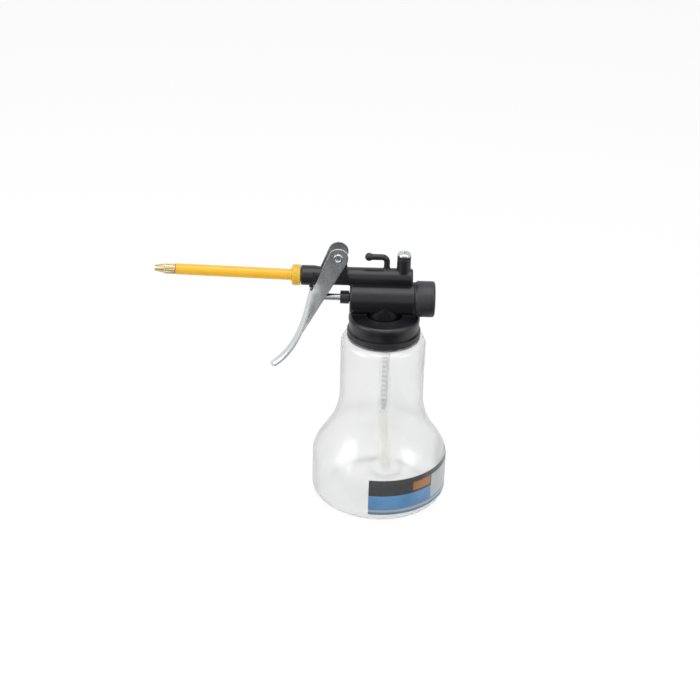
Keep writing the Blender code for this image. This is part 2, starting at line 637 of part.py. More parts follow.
def pump_solids(shop):
    """Return the helper shapes that are moulded in one with the pump cylinder."""
    front = SOCKET_FRONT_X
    barrel = [(front, 0.0), (front, SOCKET_RADIUS - SOCKET_EDGE), (front + SOCKET_EDGE, SOCKET_RADIUS)]
    barrel += [(front + SOCKET_LENGTH, SOCKET_RADIUS), (front + SOCKET_LENGTH + SOCKET_TAPER, BARREL_RADIUS)]
    barrel += arc((BARREL_REAR_X - BARREL_ROUND, BARREL_RADIUS - BARREL_ROUND), BARREL_ROUND, 90, 0, 3)
    barrel += [(BARREL_REAR_X, 0.0)]

    web_low = PUMP_Z + PUMP_RADIUS * 0.6
    web = box(
        (PUMP_FRONT_X + PUMP_EDGE_ROUND, -WEB_HALF_WIDTH, web_low),
        (BARREL_REAR_X - BARREL_ROUND, WEB_HALF_WIDTH, BARREL_Z),
    )

    pivot = (PIVOT_X, PIVOT_Z)
    front_foot = (LUG_FOOT_FRONT_X, BARREL_Z)
    rear_foot = (LUG_FOOT_REAR_X, BARREL_Z)
    front_touch = tangent_point(pivot, LUG_RADIUS, front_foot, -1)
    rear_touch = tangent_point(pivot, LUG_RADIUS, rear_foot, 1)
    from_rear = math.degrees(math.atan2(rear_touch[1] - PIVOT_Z, rear_touch[0] - PIVOT_X))
    to_front = math.degrees(math.atan2(front_touch[1] - PIVOT_Z, front_touch[0] - PIVOT_X)) % 360
    lug_outline = [front_foot, rear_foot] + arc(pivot, LUG_RADIUS, from_rear, to_front, 14)

    nub_bottom = WEB_TOP_Z + SEAT_GAP
    nub_root = BARREL_Z - SOCKET_RADIUS + ROOT_DEPTH
    nub = [(nub_bottom, 0.0), (nub_bottom, STOP_NUB_RADIUS - STOP_NUB_EDGE)]
    nub += [(nub_bottom + STOP_NUB_EDGE, STOP_NUB_RADIUS), (nub_root, STOP_NUB_RADIUS), (nub_root, 0.0)]

    post = [(BARREL_Z, 0.0), (BARREL_Z, POST_RADIUS), (POST_TOP_Z, POST_RADIUS), (POST_TOP_Z, 0.0)]

    neck = [(FLANGE_BOTTOM_Z, 0.0), (FLANGE_BOTTOM_Z, FLANGE_RADIUS), (FLANGE_TOP_Z, FLANGE_RADIUS)]
    neck += [(FLANGE_TOP_Z, PUMP_NECK_RADIUS), (PUMP_Z - 2 * MM, PUMP_NECK_RADIUS), (PUMP_Z - 2 * MM, 0.0)]

    hook_root_z = BARREL_Z + BARREL_RADIUS - ROOT_DEPTH
    bend = arc((HOOK_X - HOOK_BEND_RADIUS, HOOK_ARM_Z - HOOK_BEND_RADIUS), HOOK_BEND_RADIUS, 0, 90, 5)
    flare = [(HOOK_X, hook_root_z), (HOOK_X, hook_root_z + 1.9 * MM), (HOOK_X, hook_root_z + 3.0 * MM)]
    path = [(x, 0.0, z) for x, z in flare + bend + [(HOOK_TIP_X, HOOK_ARM_Z)]]
    radii = [HOOK_FOOT_RADIUS, HOOK_FOOT_RADIUS * 0.72] + [HOOK_RADIUS] * (len(path) - 2)

    return [
        shop.helper("barrel_shape", turned(barrel, TUBE_TURN, "X"), (0, 0, BARREL_Z)),
        shop.helper("web_shape", web),
        shop.helper("lug_shape", plate(lug_outline, LUG_HALF_WIDTH + 0.2 * MM)),
        shop.helper("nub_shape", turned(nub, 12), (STOP_NUB_X, 0, 0)),
        shop.helper("post_shape", turned(post, TUBE_TURN), (POST_X, 0, 0)),
        shop.helper("neck_shape", turned(neck, COLLAR_TURN)),
        shop.helper("hook_shape", solid_sweep(path, radii, 10)),
        shop.helper("hook_ball_shape", ball(HOOK_BALL_RADIUS, 12), (HOOK_TIP_X, 0, HOOK_ARM_Z)),
    ]


def pump_cuts(shop):
    """Return the helper shapes that open the fork, the bores and the passages."""
    past = 2 * MM
    bore = [(PUMP_BORE_FRONT_X, 0.0), (PUMP_BORE_FRONT_X, PUMP_BORE_RADIUS)]
    bore += [(SPIGOT_REAR_X + past, PUMP_BORE_RADIUS), (SPIGOT_REAR_X + past, 0.0)]
    gland = GLAND_SPIGOT_RADIUS + GLAND_FIT
    gland_bore = [(PUMP_FRONT_X - past, 0.0), (PUMP_FRONT_X - past, gland)]
    gland_bore += [(PUMP_BORE_FRONT_X + past, gland), (PUMP_BORE_FRONT_X + past, 0.0)]

    socket_end = SOCKET_FRONT_X + SOCKET_BORE_DEPTH
    passage = [(SOCKET_FRONT_X - past, 0.0), (SOCKET_FRONT_X - past, SOCKET_BORE_RADIUS)]
    passage += [(socket_end, SOCKET_BORE_RADIUS), (socket_end, PASSAGE_RADIUS)]
    passage += [(POST_X, PASSAGE_RADIUS), (POST_X, 0.0)]

    port_bottom = PUMP_Z + PUMP_BORE_RADIUS - past
    outlet = [(port_bottom, 0.0), (port_bottom, OUTLET_PORT_RADIUS)]
    outlet += [(OUTLET_SEAT_Z, OUTLET_PORT_RADIUS), (OUTLET_SEAT_Z, VALVE_CHAMBER_RADIUS)]
    outlet += [(SCREW_BORE_BOTTOM_Z, VALVE_CHAMBER_RADIUS), (SCREW_BORE_BOTTOM_Z, SCREW_BORE_RADIUS)]
    outlet += [(POST_TOP_Z + past, SCREW_BORE_RADIUS), (POST_TOP_Z + past, 0.0)]

    socket_radius = STEM_RADIUS + RUNNING_GAP
    socket_top = FLANGE_BOTTOM_Z + STEM_SOCKET_DEPTH
    port_top = PUMP_Z - PUMP_BORE_RADIUS + past
    suction = [(FLANGE_BOTTOM_Z - past, 0.0), (FLANGE_BOTTOM_Z - past, socket_radius)]
    suction += [(socket_top, socket_radius), (socket_top, STEM_PORT_RADIUS)]
    suction += [(port_top, STEM_PORT_RADIUS), (port_top, 0.0)]

    pin_hole = PIN_RADIUS + RUNNING_GAP
    pivot_hole = [(-past * 4, 0.0), (-past * 4, pin_hole), (past * 4, pin_hole), (past * 4, 0.0)]

    cuts = [
        shop.helper("pump_bore", turned(bore, PUMP_TURN, "X"), (0, 0, PUMP_Z)),
        shop.helper("gland_bore", turned(gland_bore, SMALL_TURN, "X"), (0, 0, PUMP_Z)),
        shop.helper("nozzle_passage", turned(passage, TUBE_TURN, "X"), (0, 0, BARREL_Z)),
        shop.helper("outlet_bore", turned(outlet, SMALL_TURN), (POST_X, 0, 0)),
        shop.helper("suction_bore", turned(suction, SMALL_TURN), (STEM_X, 0, 0)),
        shop.helper("pivot_bore", turned(pivot_hole, SMALL_TURN, "Y"), (PIVOT_X, 0, PIVOT_Z)),
    ]
    for name, side in (("near", -1), ("far", 1)):
        edges = sorted((side * LUG_HALF_WIDTH, side * (LUG_HALF_WIDTH + 4 * MM)))
        low = (FORK_FRONT_X, edges[0], BARREL_Z - BARREL_RADIUS - past)
        high = (FORK_REAR_X, edges[1], PIVOT_Z + LUG_RADIUS + past)
        cuts.append(shop.helper("fork_flat_" + name, box(low, high)))
    return cuts


def build_pump_body(shop):
    """Moulded head: pump cylinder, nozzle barrel, lever lug, outlet post, hook and neck in one piece."""
    round_centre = (PUMP_FRONT_X + PUMP_EDGE_ROUND, PUMP_RADIUS - PUMP_EDGE_ROUND)
    cylinder = [(PUMP_FRONT_X, 0.0)] + arc(round_centre, PUMP_EDGE_ROUND, 180, 90, 3)
    cylinder += [(PUMP_REAR_X, PUMP_RADIUS), (PUMP_REAR_X, SPIGOT_RADIUS), (SPIGOT_REAR_X, SPIGOT_RADIUS)]
    cylinder += [(SPIGOT_REAR_X, 0.0)]
    head = shop.piece("pump_body", turned(cylinder, PUMP_TURN, "X"), "black", (0, 0, PUMP_Z))
    for solid in pump_solids(shop):
        shop.combine(head, solid, "UNION")
    for cutter in pump_cuts(shop):
        shop.combine(head, cutter, "DIFFERENCE", "MANIFOLD")


def build_end_cap(shop):
    """Cap over the rear spigot, with its seal ring on the spigot's end."""
    bore = SPIGOT_RADIUS + SEAT_GAP
    wall_x = CAP_REAR_X - CAP_END_WALL
    section = [(CAP_FRONT_X, bore), (CAP_FRONT_X, PUMP_RADIUS)]
    section += arc((CAP_REAR_X - CAP_ROUND, PUMP_RADIUS - CAP_ROUND), CAP_ROUND, 90, 0, 4)
    section = [(wall_x, 0.0), (wall_x, bore)] + section + [(CAP_REAR_X, 0.0)]
    shop.piece("cylinder_end_cap", turned(section, PUMP_TURN, "X"), "black", (0, 0, PUMP_Z))

    front = SPIGOT_REAR_X + SEAT_GAP
    rear = wall_x - SEAT_GAP
    ring = ring_section(front, rear, CAP_SEAL_INNER_RADIUS, SPIGOT_RADIUS)
    shop.piece("end_cap_seal", turned(ring, PUMP_TURN, "X"), "rubber", (0, 0, PUMP_Z))


def build_gland(shop):
    """Guide of the rod in the cylinder's front wall, with its seal in a pocket at the front."""
    hole = ROD_RADIUS + GLAND_FIT
    rear = PUMP_FRONT_X - SEAT_GAP
    front = PUMP_FRONT_X - GLAND_LENGTH
    pocket_radius = ROD_SEAL_RADIUS + RUNNING_GAP
    pocket_end = front + ROD_SEAL_LENGTH + 2 * SEAT_GAP
    spigot_end = rear + GLAND_SPIGOT_LENGTH
    section = [(pocket_end, hole), (pocket_end, pocket_radius), (front, pocket_radius)]
    section += [(front, GLAND_RADIUS - GLAND_EDGE), (front + GLAND_EDGE, GLAND_RADIUS), (rear, GLAND_RADIUS)]
    section += [(rear, GLAND_SPIGOT_RADIUS), (spigot_end, GLAND_SPIGOT_RADIUS), (spigot_end, hole)]
    shop.piece("rod_gland", turned(section, TUBE_TURN, "X"), "black", (0, 0, PUMP_Z))

    seal_front = front + SEAT_GAP
    ring = ring_section(seal_front, seal_front + ROD_SEAL_LENGTH, hole, ROD_SEAL_RADIUS)
    shop.piece("rod_seal", turned(ring, TUBE_TURN, "X"), "rubber", (0, 0, PUMP_Z))


def rod_contact_x():
    """Return the X of the rod's tip centre where its round end just touches the lever's web."""
    inner_distance = WEB_DISTANCE - SHEET
    drop = PIVOT_Z - PUMP_Z
    reach = (ROD_RADIUS - inner_distance - drop * math.sin(WEB_SLOPE)) / math.cos(WEB_SLOPE)
    return PIVOT_X + reach


def build_plunger(shop):
    """Rod with a round tip, the piston on its rear end, the piston's seal and the return spring."""
    axis = shop.empty("plunger_axis", shop.can_axis, (0, 0, PUMP_Z))
    tip_x = rod_contact_x() + ROD_REST_GAP
    rod_rear = PISTON_FRONT_X + ROD_SOCKET_DEPTH - SEAT_GAP
    rod = arc((tip_x, 0.0), ROD_RADIUS, 180, 90, 5)
    rod[0] = (rod[0][0], 0.0)
    rod += [(rod_rear, ROD_RADIUS), (rod_rear, 0.0)]
    shop.piece("piston_rod", turned(rod, TUBE_TURN, "X"), "steel", parent=axis)

    radius = PUMP_BORE_RADIUS - SEAT_GAP
    hub = ROD_RADIUS + SEAT_GAP
    socket_end = PISTON_FRONT_X + ROD_SOCKET_DEPTH
    groove_front = PISTON_FRONT_X + (PISTON_LENGTH - PISTON_GROOVE_WIDTH) / 2
    groove_rear = groove_front + PISTON_GROOVE_WIDTH
    groove_radius = radius - PISTON_GROOVE_DEPTH
    piston = [(socket_end, 0.0), (socket_end, hub), (PISTON_FRONT_X, hub), (PISTON_FRONT_X, radius)]
    piston += [(groove_front, radius), (groove_front, groove_radius), (groove_rear, groove_radius)]
    piston += [(groove_rear, radius), (PISTON_REAR_X, radius), (PISTON_REAR_X, 0.0)]
    shop.piece("piston", turned(piston, TUBE_TURN, "X"), "pale", parent=axis)

    seal_inner = groove_radius + RUNNING_GAP
    seal_outer = PUMP_BORE_RADIUS - RUNNING_GAP
    seal = ring_section(groove_front + SEAT_GAP, groove_rear - SEAT_GAP, seal_inner, seal_outer)
    shop.piece("piston_seal", turned(seal, TUBE_TURN, "X"), "rubber", parent=axis)

    spring_front = PISTON_REAR_X + SEAT_GAP
    spring_rear = CAP_REAR_X - CAP_END_WALL - SEAT_GAP
    bm = coil(RETURN_SPRING_RADIUS, RETURN_SPRING_WIRE, spring_rear - spring_front, RETURN_SPRING_TURNS, 8, 4)
    bm.transform(Matrix.Rotation(math.pi / 2, 4, "Y"))
    shop.piece("return_spring", bm, "steel", (spring_front, 0, PUMP_Z), sharp=80.0)


def lever_stations():
    """Return (front, rear, half width) of the lever's cross sections, from the pivot, top to tip.

    Front and rear are XZ points of the sheet's outer face: the web's face and the ears' rear edge.
    """
    slope_down = Vector((-math.sin(WEB_SLOPE), -math.cos(WEB_SLOPE)))
    web_normal = Vector((-math.cos(WEB_SLOPE), math.sin(WEB_SLOPE)))

    def web_point(level):
        """Return the point of the web's outer face at a height."""
        foot = web_normal * WEB_DISTANCE
        return foot + slope_down * ((foot.y - (level - PIVOT_Z)) / math.cos(WEB_SLOPE))

    rear_down = Vector((-math.sin(REAR_EDGE_SLOPE), -math.cos(REAR_EDGE_SLOPE)))
    rear_touch = Vector((math.cos(REAR_EDGE_SLOPE), -math.sin(REAR_EDGE_SLOPE))) * EAR_RADIUS
    web_top = web_point(WEB_TOP_Z)
    straight_end = web_point(WEB_STRAIGHT_Z)
    tip = Vector((GRIP_TIP_X - PIVOT_X, GRIP_TIP_Z - PIVOT_Z))
    tip_down = Vector((-math.sin(GRIP_TIP_SLOPE), -math.cos(GRIP_TIP_SLOPE)))

    front = [web_top.lerp(straight_end, share / 3) for share in range(3)]
    curve = bezier(
        straight_end,
        straight_end + slope_down * GRIP_CURVE_LEAD,
        tip - tip_down * GRIP_CURVE_LEAD,
        tip,
        11,
    )
    front += [Vector(point) for point in curve]

    stations = []
    last_depth = math.inf
    for index, point in enumerate(front):
        ahead = front[min(index + 1, len(front) - 1)] - front[max(index - 1, 0)]
        inward = Vector((-ahead.y, ahead.x)).normalized()
        across = rear_touch - point
        rate = inward.x * rear_down.y - inward.y * rear_down.x
        depth = (across.x * rear_down.y - across.y * rear_down.x) / rate
        depth = max(min(depth, last_depth), GRIP_DEPTH)
        last_depth = depth
        level = point.y + PIVOT_Z
        taper = min(max((TAPER_TOP_Z - level) / (TAPER_TOP_Z - GRIP_TIP_Z), 0.0), 1.0)
        half_width = LEVER_HALF_WIDTH + (GRIP_TIP_HALF_WIDTH - LEVER_HALF_WIDTH) * taper
        stations.append((point, point + inward * depth, half_width))
    return stations, rear_touch, web_top


def ear_rows(rear_touch, web_corner, web_rear):
    """Return (front, rear) points of the ears above the web, from their round tops down."""
    front_touch = Vector(tangent_point((0.0, 0.0), EAR_RADIUS, web_corner, -1))
    rear_angle = math.degrees(math.atan2(rear_touch.y, rear_touch.x))
    front_angle = math.degrees(math.atan2(front_touch.y, front_touch.x)) % 360
    crown = (rear_angle + front_angle) / 2
    rows = []
    steps = 6
    for step in range(steps):
        spread = 7.0 + (crown - rear_angle - 7.0) * step / (steps - 1)
        front = arc((0, 0), EAR_RADIUS, crown + spread, crown + spread, 1)[0]
        rear = arc((0, 0), EAR_RADIUS, crown - spread, crown - spread, 1)[0]
        rows.append((Vector(front), Vector(rear)))
    for step in range(1, 4):
        share = step / 4
        rows.append((front_touch.lerp(web_corner, share), rear_touch.lerp(web_rear, share)))
    return rows


def lever_section(front, rear, half_width):
    """Return one side of a cross section as (Y, point) pairs, rear edge first, web middle last."""
    depth = (rear - front).length
    inward = (rear - front).normalized()
    growth = max(0.0, 1.0 - depth / (WEB_DISTANCE - FOLD_RADIUS))
    fold_depth = min(FOLD_RADIUS + FOLD_SPREAD * growth, depth * 0.92)
    fold_width = FOLD_RADIUS + (half_width * 0.8 - FOLD_RADIUS) * growth ** 2
    side = [(half_width, rear)]
    for across, down in arc((0.0, 1.0), 1.0, 0, -90, 4):
        side.append((half_width - fold_width * (1.0 - across), front + inward * fold_depth * down))
    side.append((0.0, front))
    return side


def build_lever(shop):
    """Squeeze lever folded from sheet: two ears on the pivot, a web between them and a curved grip."""
    axis = shop.empty("lever_axis", shop.can_axis, (PIVOT_X, 0, PIVOT_Z))
    stations, rear_touch, web_top = lever_stations()
    top_section = lever_section(*stations[0])
    web_corner = top_section[1][1]

    bm = bmesh.new()
    half_ear = LEVER_HALF_WIDTH
    ear_grid = []
    for front, rear in ear_rows(rear_touch, web_corner, stations[0][1]):
        ear_grid.append([bm.verts.new((point.x, -half_ear, point.y)) for point in (rear, front)])
        ear_grid[-1] += [bm.verts.new((point.x, half_ear, point.y)) for point in (front, rear)]

    grid = []
    tip = stations[-1][0]
    for front, rear, half_width in stations:
        to_tip = (front - tip).length
        rounding = min(to_tip / GRIP_TIP_HALF_WIDTH, 1.0)
        half_width *= math.sqrt(max(1.0 - (1.0 - rounding) ** 2, 0.12))
        near = lever_section(front, rear, half_width)
        row = [bm.verts.new((point.x, -y, point.y)) for y, point in near]
        row += [bm.verts.new((point.x, y, point.y)) for y, point in near[-2::-1]]
        grid.append(row)

    for row, following in zip(grid, grid[1:]):
        for left in range(len(row) - 1):
            bm.faces.new((row[left], row[left + 1], following[left + 1], following[left]))
    last_column = len(grid[0]) - 1
    web_row = [grid[0][0], grid[0][1], grid[0][last_column - 1], grid[0][last_column]]
    ear_grid.append(web_row)
    for row, following in zip(ear_grid, ear_grid[1:]):
        for left in (0, 2):
            bm.faces.new((row[left], row[left + 1], following[left + 1], following[left]))
    bmesh.ops.recalc_face_normals(bm, faces=bm.faces)
    lever = shop.piece("lever", bm, "zinc", parent=axis, sharp=40.0)
    fold = lever.modifiers.new("sheet", "SOLIDIFY")
    fold.thickness = SHEET
    fold.offset = -1.0
    fold.use_even_offset = True

    hole = PIN_RADIUS + RUNNING_GAP
    reach = LEVER_HALF_WIDTH + 2 * MM
    bore = [(-reach, 0.0), (-reach, hole), (reach, hole), (reach, 0.0)]
    shop.combine(lever, shop.helper("lever_bore", turned(bore, TUBE_TURN, "Y"), parent=axis), "DIFFERENCE")

    seat = LEVER_HALF_WIDTH + RUNNING_GAP
    end = seat + PIN_HEAD_HEIGHT
    rim = PIN_HEAD_RADIUS - PIN_HEAD_EDGE
    half = [(seat, PIN_RADIUS), (seat, rim), (seat + PIN_HEAD_EDGE, PIN_HEAD_RADIUS)]
    half += [(end - PIN_HEAD_EDGE, rim), (end, rim - 3 * PIN_HEAD_EDGE)]
    half += [(end, PIN_BORE_RADIUS + PIN_MOUTH), (end - PIN_MOUTH, PIN_BORE_RADIUS)]
    section = half + [(-along, radius) for along, radius in half[::-1]]
    shop.piece("lever_pin", turned(section, SMALL_TURN, "Y"), "steel", parent=axis)


def build_nozzle(shop):
    """Nut, tube and fluted tip, which turn together in the barrel's socket."""
    axis = shop.empty("nozzle_axis", shop.can_axis, (SOCKET_FRONT_X, 0, BARREL_Z))
    rear = -SEAT_GAP
    front = rear - NUT_LENGTH
    spigot_radius = SOCKET_BORE_RADIUS - SEAT_GAP
    spigot_end = NUT_SPIGOT_LENGTH
    pocket_end = front + NUT_POCKET_DEPTH
    pocket_radius = TUBE_RADIUS + SEAT_GAP
    nut = [(pocket_end, PASSAGE_RADIUS), (pocket_end, pocket_radius), (front, pocket_radius)]
    nut += arc((front + NUT_ROUND, NUT_RADIUS - NUT_ROUND), NUT_ROUND, 180, 90, 4)
    nut += [(rear, NUT_RADIUS), (rear, spigot_radius)]
    nut += [(spigot_end, spigot_radius), (spigot_end, PASSAGE_RADIUS)]
    shop.piece("nozzle_nut", turned(nut, TUBE_TURN, "X"), "yellow", parent=axis)

    seal_front = spigot_end + SEAT_GAP
    seal = ring_section(seal_front, seal_front + NOZZLE_SEAL_THICKNESS, PASSAGE_RADIUS, spigot_radius)
    shop.piece("nozzle_seal", turned(seal, TUBE_TURN, "X"), "rubber", parent=axis)

    root = shop.empty("tube_root", axis, (TUBE_ROOT_X - SOCKET_FRONT_X, 0, 0), (0, TUBE_RISE, 0))
    inner_end = pocket_end - SEAT_GAP - (TUBE_ROOT_X - SOCKET_FRONT_X)
    tube_end = (TUBE_END_X - TUBE_ROOT_X) / math.cos(TUBE_RISE)
    bore = TUBE_RADIUS - TUBE_WALL
    tube = [(tube_end, bore), (tube_end, TUBE_RADIUS), (inner_end, TUBE_RADIUS), (inner_end, bore)]
    shop.piece("nozzle_tube", turned(tube, TUBE_TURN, "X"), "orange", parent=root)

    tip_end = (TIP_END_X - TUBE_ROOT_X) / math.cos(TUBE_RISE)
    shoulder = tube_end - RUNNING_GAP
    fluted_end = shoulder - TIP_FLUTED_LENGTH
    spigot = bore - SEAT_GAP
    spigot_end = shoulder + TIP_SPIGOT_LENGTH
    profile = [(spigot_end, TIP_BORE_RADIUS), (spigot_end, spigot), (shoulder, spigot)]
    profile += [(shoulder, TIP_RADIUS), (fluted_end, TIP_RADIUS), (fluted_end - TIP_EDGE, TIP_CONE_RADIUS)]
    profile += [(tip_end + TIP_EDGE, TIP_MOUTH_RADIUS), (tip_end, TIP_MOUTH_RADIUS - TIP_EDGE)]
    profile += [(tip_end, TIP_BORE_RADIUS)]
    bm = turned(profile, 2 * TIP_FLUTES, "X")
    for vert in bm.verts:
        turn = math.atan2(vert.co.z, vert.co.y) / math.pi
        on_flute = round(turn * TIP_FLUTES) % 2 == 1
        if on_flute and math.hypot(vert.co.y, vert.co.z) > TIP_RADIUS - TIP_FLUTE_DEPTH / 4:
            vert.co.y *= 1 - TIP_FLUTE_DEPTH / TIP_RADIUS
            vert.co.z *= 1 - TIP_FLUTE_DEPTH / TIP_RADIUS
    shop.piece("nozzle_tip", bm, "brass", parent=root)


def build_outlet_valve(shop):
    """Ball and spring in the post, closed by a pan-head screw over a sealing washer."""
    seat_height = math.sqrt(OUTLET_BALL_RADIUS ** 2 - OUTLET_PORT_RADIUS ** 2)
    ball_z = OUTLET_SEAT_Z + seat_height + RUNNING_GAP
    shop.piece("outlet_ball", ball(OUTLET_BALL_RADIUS), "steel", (POST_X, 0, ball_z), sharp=80.0)

    spring_bottom = ball_z + OUTLET_BALL_RADIUS + SPRING_END_GAP
    spring_top = SCREW_SEAT_Z - SCREW_LENGTH - SPRING_END_GAP
    bm = coil(OUTLET_SPRING_RADIUS, OUTLET_SPRING_WIRE, spring_top - spring_bottom, OUTLET_SPRING_TURNS, 8, 4)
    shop.piece("outlet_spring", bm, "steel", (POST_X, 0, spring_bottom), sharp=80.0)

    washer_bottom = POST_TOP_Z + SEAT_GAP
    washer_top = washer_bottom + OUTLET_SEAL_THICKNESS
    washer = ring_section(washer_bottom, washer_top, SCREW_SHANK_RADIUS + RUNNING_GAP, POST_RADIUS)
    shop.piece("outlet_seal", turned(washer, TUBE_TURN), "rubber", (POST_X, 0, 0))

    head = [(-SCREW_LENGTH, 0.0), (-SCREW_LENGTH, SCREW_SHANK_RADIUS)]
    head += [(0.0, SCREW_SHANK_RADIUS), (0.0, SCREW_HEAD_RADIUS)]
    round_centre = (SCREW_HEAD_HEIGHT - SCREW_HEAD_ROUND, SCREW_HEAD_RADIUS - SCREW_HEAD_ROUND)
    head += arc(round_centre, SCREW_HEAD_ROUND, 90, 0, 4)
    head += [(SCREW_HEAD_HEIGHT + SCREW_HEAD_CROWN, 0.0)]
    screw = shop.piece("outlet_screw", turned(head, TUBE_TURN), "steel", (POST_X, 0, SCREW_SEAT_Z))
    half_length = CROSS_RECESS_LENGTH / 2
    half_width = CROSS_RECESS_WIDTH / 2
    floor = SCREW_HEAD_HEIGHT - CROSS_RECESS_DEPTH
    over = SCREW_HEAD_HEIGHT + 1 * MM
    for name, long_x, long_y in (("along", half_length, half_width), ("across", half_width, half_length)):
        slot = box((-long_x, -long_y, floor), (long_x, long_y, over))
        helper = shop.helper("recess_" + name, slot, (POST_X, 0, SCREW_SEAT_Z))
        shop.combine(screw, helper, "DIFFERENCE")


def build_suction(shop):
    """Stem with the inlet valve, dip tube pushed on its spigot, and the notched foot."""
    stem = [
        (STEM_TOP_Z, STEM_UPPER_BORE_RADIUS),
        (STEM_TOP_Z, STEM_RADIUS),
        (STEM_END_Z, STEM_RADIUS),
        (STEM_END_Z, STEM_SPIGOT_RADIUS),
        (STEM_END_Z - STEM_SPIGOT_LENGTH, STEM_SPIGOT_RADIUS),
        (STEM_END_Z - STEM_SPIGOT_LENGTH, INLET_SEAT_RADIUS),
        (INLET_SEAT_Z, INLET_SEAT_RADIUS),
        (INLET_SEAT_Z + STEM_BORE_RADIUS - INLET_SEAT_RADIUS, STEM_BORE_RADIUS),
        (STEM_SHOULDER_Z, STEM_BORE_RADIUS),
        (STEM_SHOULDER_Z, STEM_UPPER_BORE_RADIUS),
    ]
    shop.piece("suction_stem", turned(stem, TUBE_TURN), "translucent", (STEM_X, 0, 0))

    seat_height = math.sqrt(INLET_BALL_RADIUS ** 2 - INLET_SEAT_RADIUS ** 2)
    ball_z = INLET_SEAT_Z + seat_height + RUNNING_GAP
    shop.piece("inlet_ball", ball(INLET_BALL_RADIUS), "steel", (STEM_X, 0, ball_z), sharp=80.0)
    spring_bottom = ball_z + INLET_BALL_RADIUS + SPRING_END_GAP
    spring_top = STEM_SHOULDER_Z - SPRING_END_GAP
    bm = coil(INLET_SPRING_RADIUS, INLET_SPRING_WIRE, spring_top - spring_bottom, INLET_SPRING_TURNS, 8, 4)
    shop.piece("inlet_spring", bm, "steel", (STEM_X, 0, spring_bottom), sharp=80.0)

    tube_top = STEM_END_Z - SEAT_GAP
    foot_top = FOOT_BOTTOM_Z + FOOT_THICKNESS
    bend_end = foot_top + FOOT_SPIGOT_HEIGHT + 1 * MM
    bend_start = tube_top - STEM_SPIGOT_LENGTH - 1 * MM
    lead = (bend_start - bend_end) / 3
    bend = bezier(
        (STEM_X, bend_start), (STEM_X, bend_start - lead), (FOOT_X, bend_end + lead), (FOOT_X, bend_end), 6
    )
    path = [(STEM_X, tube_top)] + bend + [(FOOT_X, foot_top + SEAT_GAP)]
    bm = tube_sweep([(x, 0.0, z) for x, z in path], STEM_RADIUS, STEM_BORE_RADIUS, SMALL_TURN)
    shop.piece("dip_tube", bm, "translucent")

    lip_inner = FOOT_RADIUS - FOOT_LIP_WIDTH
    lip_top = FOOT_BOTTOM_Z + FOOT_LIP_HEIGHT
    spigot_top = foot_top + FOOT_SPIGOT_HEIGHT
    foot = [
        (lip_top, INLET_SEAT_RADIUS),
        (lip_top, lip_inner),
        (FOOT_BOTTOM_Z, lip_inner),
        (FOOT_BOTTOM_Z, FOOT_RADIUS),
        (foot_top - FOOT_EDGE, FOOT_RADIUS),
        (foot_top, FOOT_RADIUS - FOOT_EDGE),
        (foot_top, STEM_SPIGOT_RADIUS),
        (spigot_top, STEM_SPIGOT_RADIUS),
        (spigot_top, INLET_SEAT_RADIUS),
    ]
    disc = shop.piece("suction_foot", turned(foot, TUBE_TURN), "pale", (FOOT_X, 0, 0))
    reach = FOOT_RADIUS + 2 * MM
    for index in range(FOOT_NOTCHES):
        low = (-reach, -FOOT_NOTCH_WIDTH / 2, FOOT_BOTTOM_Z - 1 * MM)
        high = (reach, FOOT_NOTCH_WIDTH / 2, FOOT_BOTTOM_Z + FOOT_NOTCH_HEIGHT)
        notch = shop.helper("foot_notch_%d" % index, box(low, high), (FOOT_X, 0, 0))
        notch.rotation_euler = (0, 0, math.pi / 4 + math.pi * index / FOOT_NOTCHES)
        shop.combine(disc, notch, "DIFFERENCE")


def main():
    """Build the can from nothing."""
    for thing in list(bpy.data.objects):
        bpy.data.objects.remove(thing, do_unlink=True)
    shop = Workshop()
    build_bottle(shop)
    build_label(shop)
    build_collar(shop)
    build_gasket(shop)
    build_pump_body(shop)
    build_end_cap(shop)
    build_gland(shop)
    build_plunger(shop)
    build_lever(shop)
    build_nozzle(shop)
    build_outlet_valve(shop)
    build_suction(shop)


main()
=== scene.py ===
"""Looks of a hand-pump oil can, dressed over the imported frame.

Every sub-assembly is a class that holds its sizes in metres and builds its own pieces. Heights run
up from the standing plane and lengths run along X from the bottle's axis, with the nozzle at -X.
"""

import logging
import math
from dataclasses import dataclass, field
from enum import Enum
from functools import lru_cache

import bpy
from mathutils import Matrix, Vector


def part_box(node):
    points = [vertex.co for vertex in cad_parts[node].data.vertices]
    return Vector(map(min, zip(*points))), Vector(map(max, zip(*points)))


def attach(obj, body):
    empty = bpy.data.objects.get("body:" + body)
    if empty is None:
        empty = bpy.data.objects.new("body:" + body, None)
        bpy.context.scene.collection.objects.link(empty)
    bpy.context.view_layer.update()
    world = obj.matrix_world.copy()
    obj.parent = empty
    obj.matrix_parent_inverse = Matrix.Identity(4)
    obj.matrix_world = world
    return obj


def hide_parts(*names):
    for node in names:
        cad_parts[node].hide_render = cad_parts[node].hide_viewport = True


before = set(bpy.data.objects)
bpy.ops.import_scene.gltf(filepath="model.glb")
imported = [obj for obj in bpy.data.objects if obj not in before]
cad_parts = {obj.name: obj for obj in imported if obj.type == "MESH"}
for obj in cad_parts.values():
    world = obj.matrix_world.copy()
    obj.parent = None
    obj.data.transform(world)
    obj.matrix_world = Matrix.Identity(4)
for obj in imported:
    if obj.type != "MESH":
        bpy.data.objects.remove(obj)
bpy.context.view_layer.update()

MM = 0.001
LOG = logging.getLogger("oil_can")

Profile = list[tuple[float, float]]
Triple = tuple[float, float, float]


class Turn(Enum):
    """How many sides a round piece gets."""

    BROAD = 144
    MEDIUM = 96
    SMALL = 64
    WIRE = 12


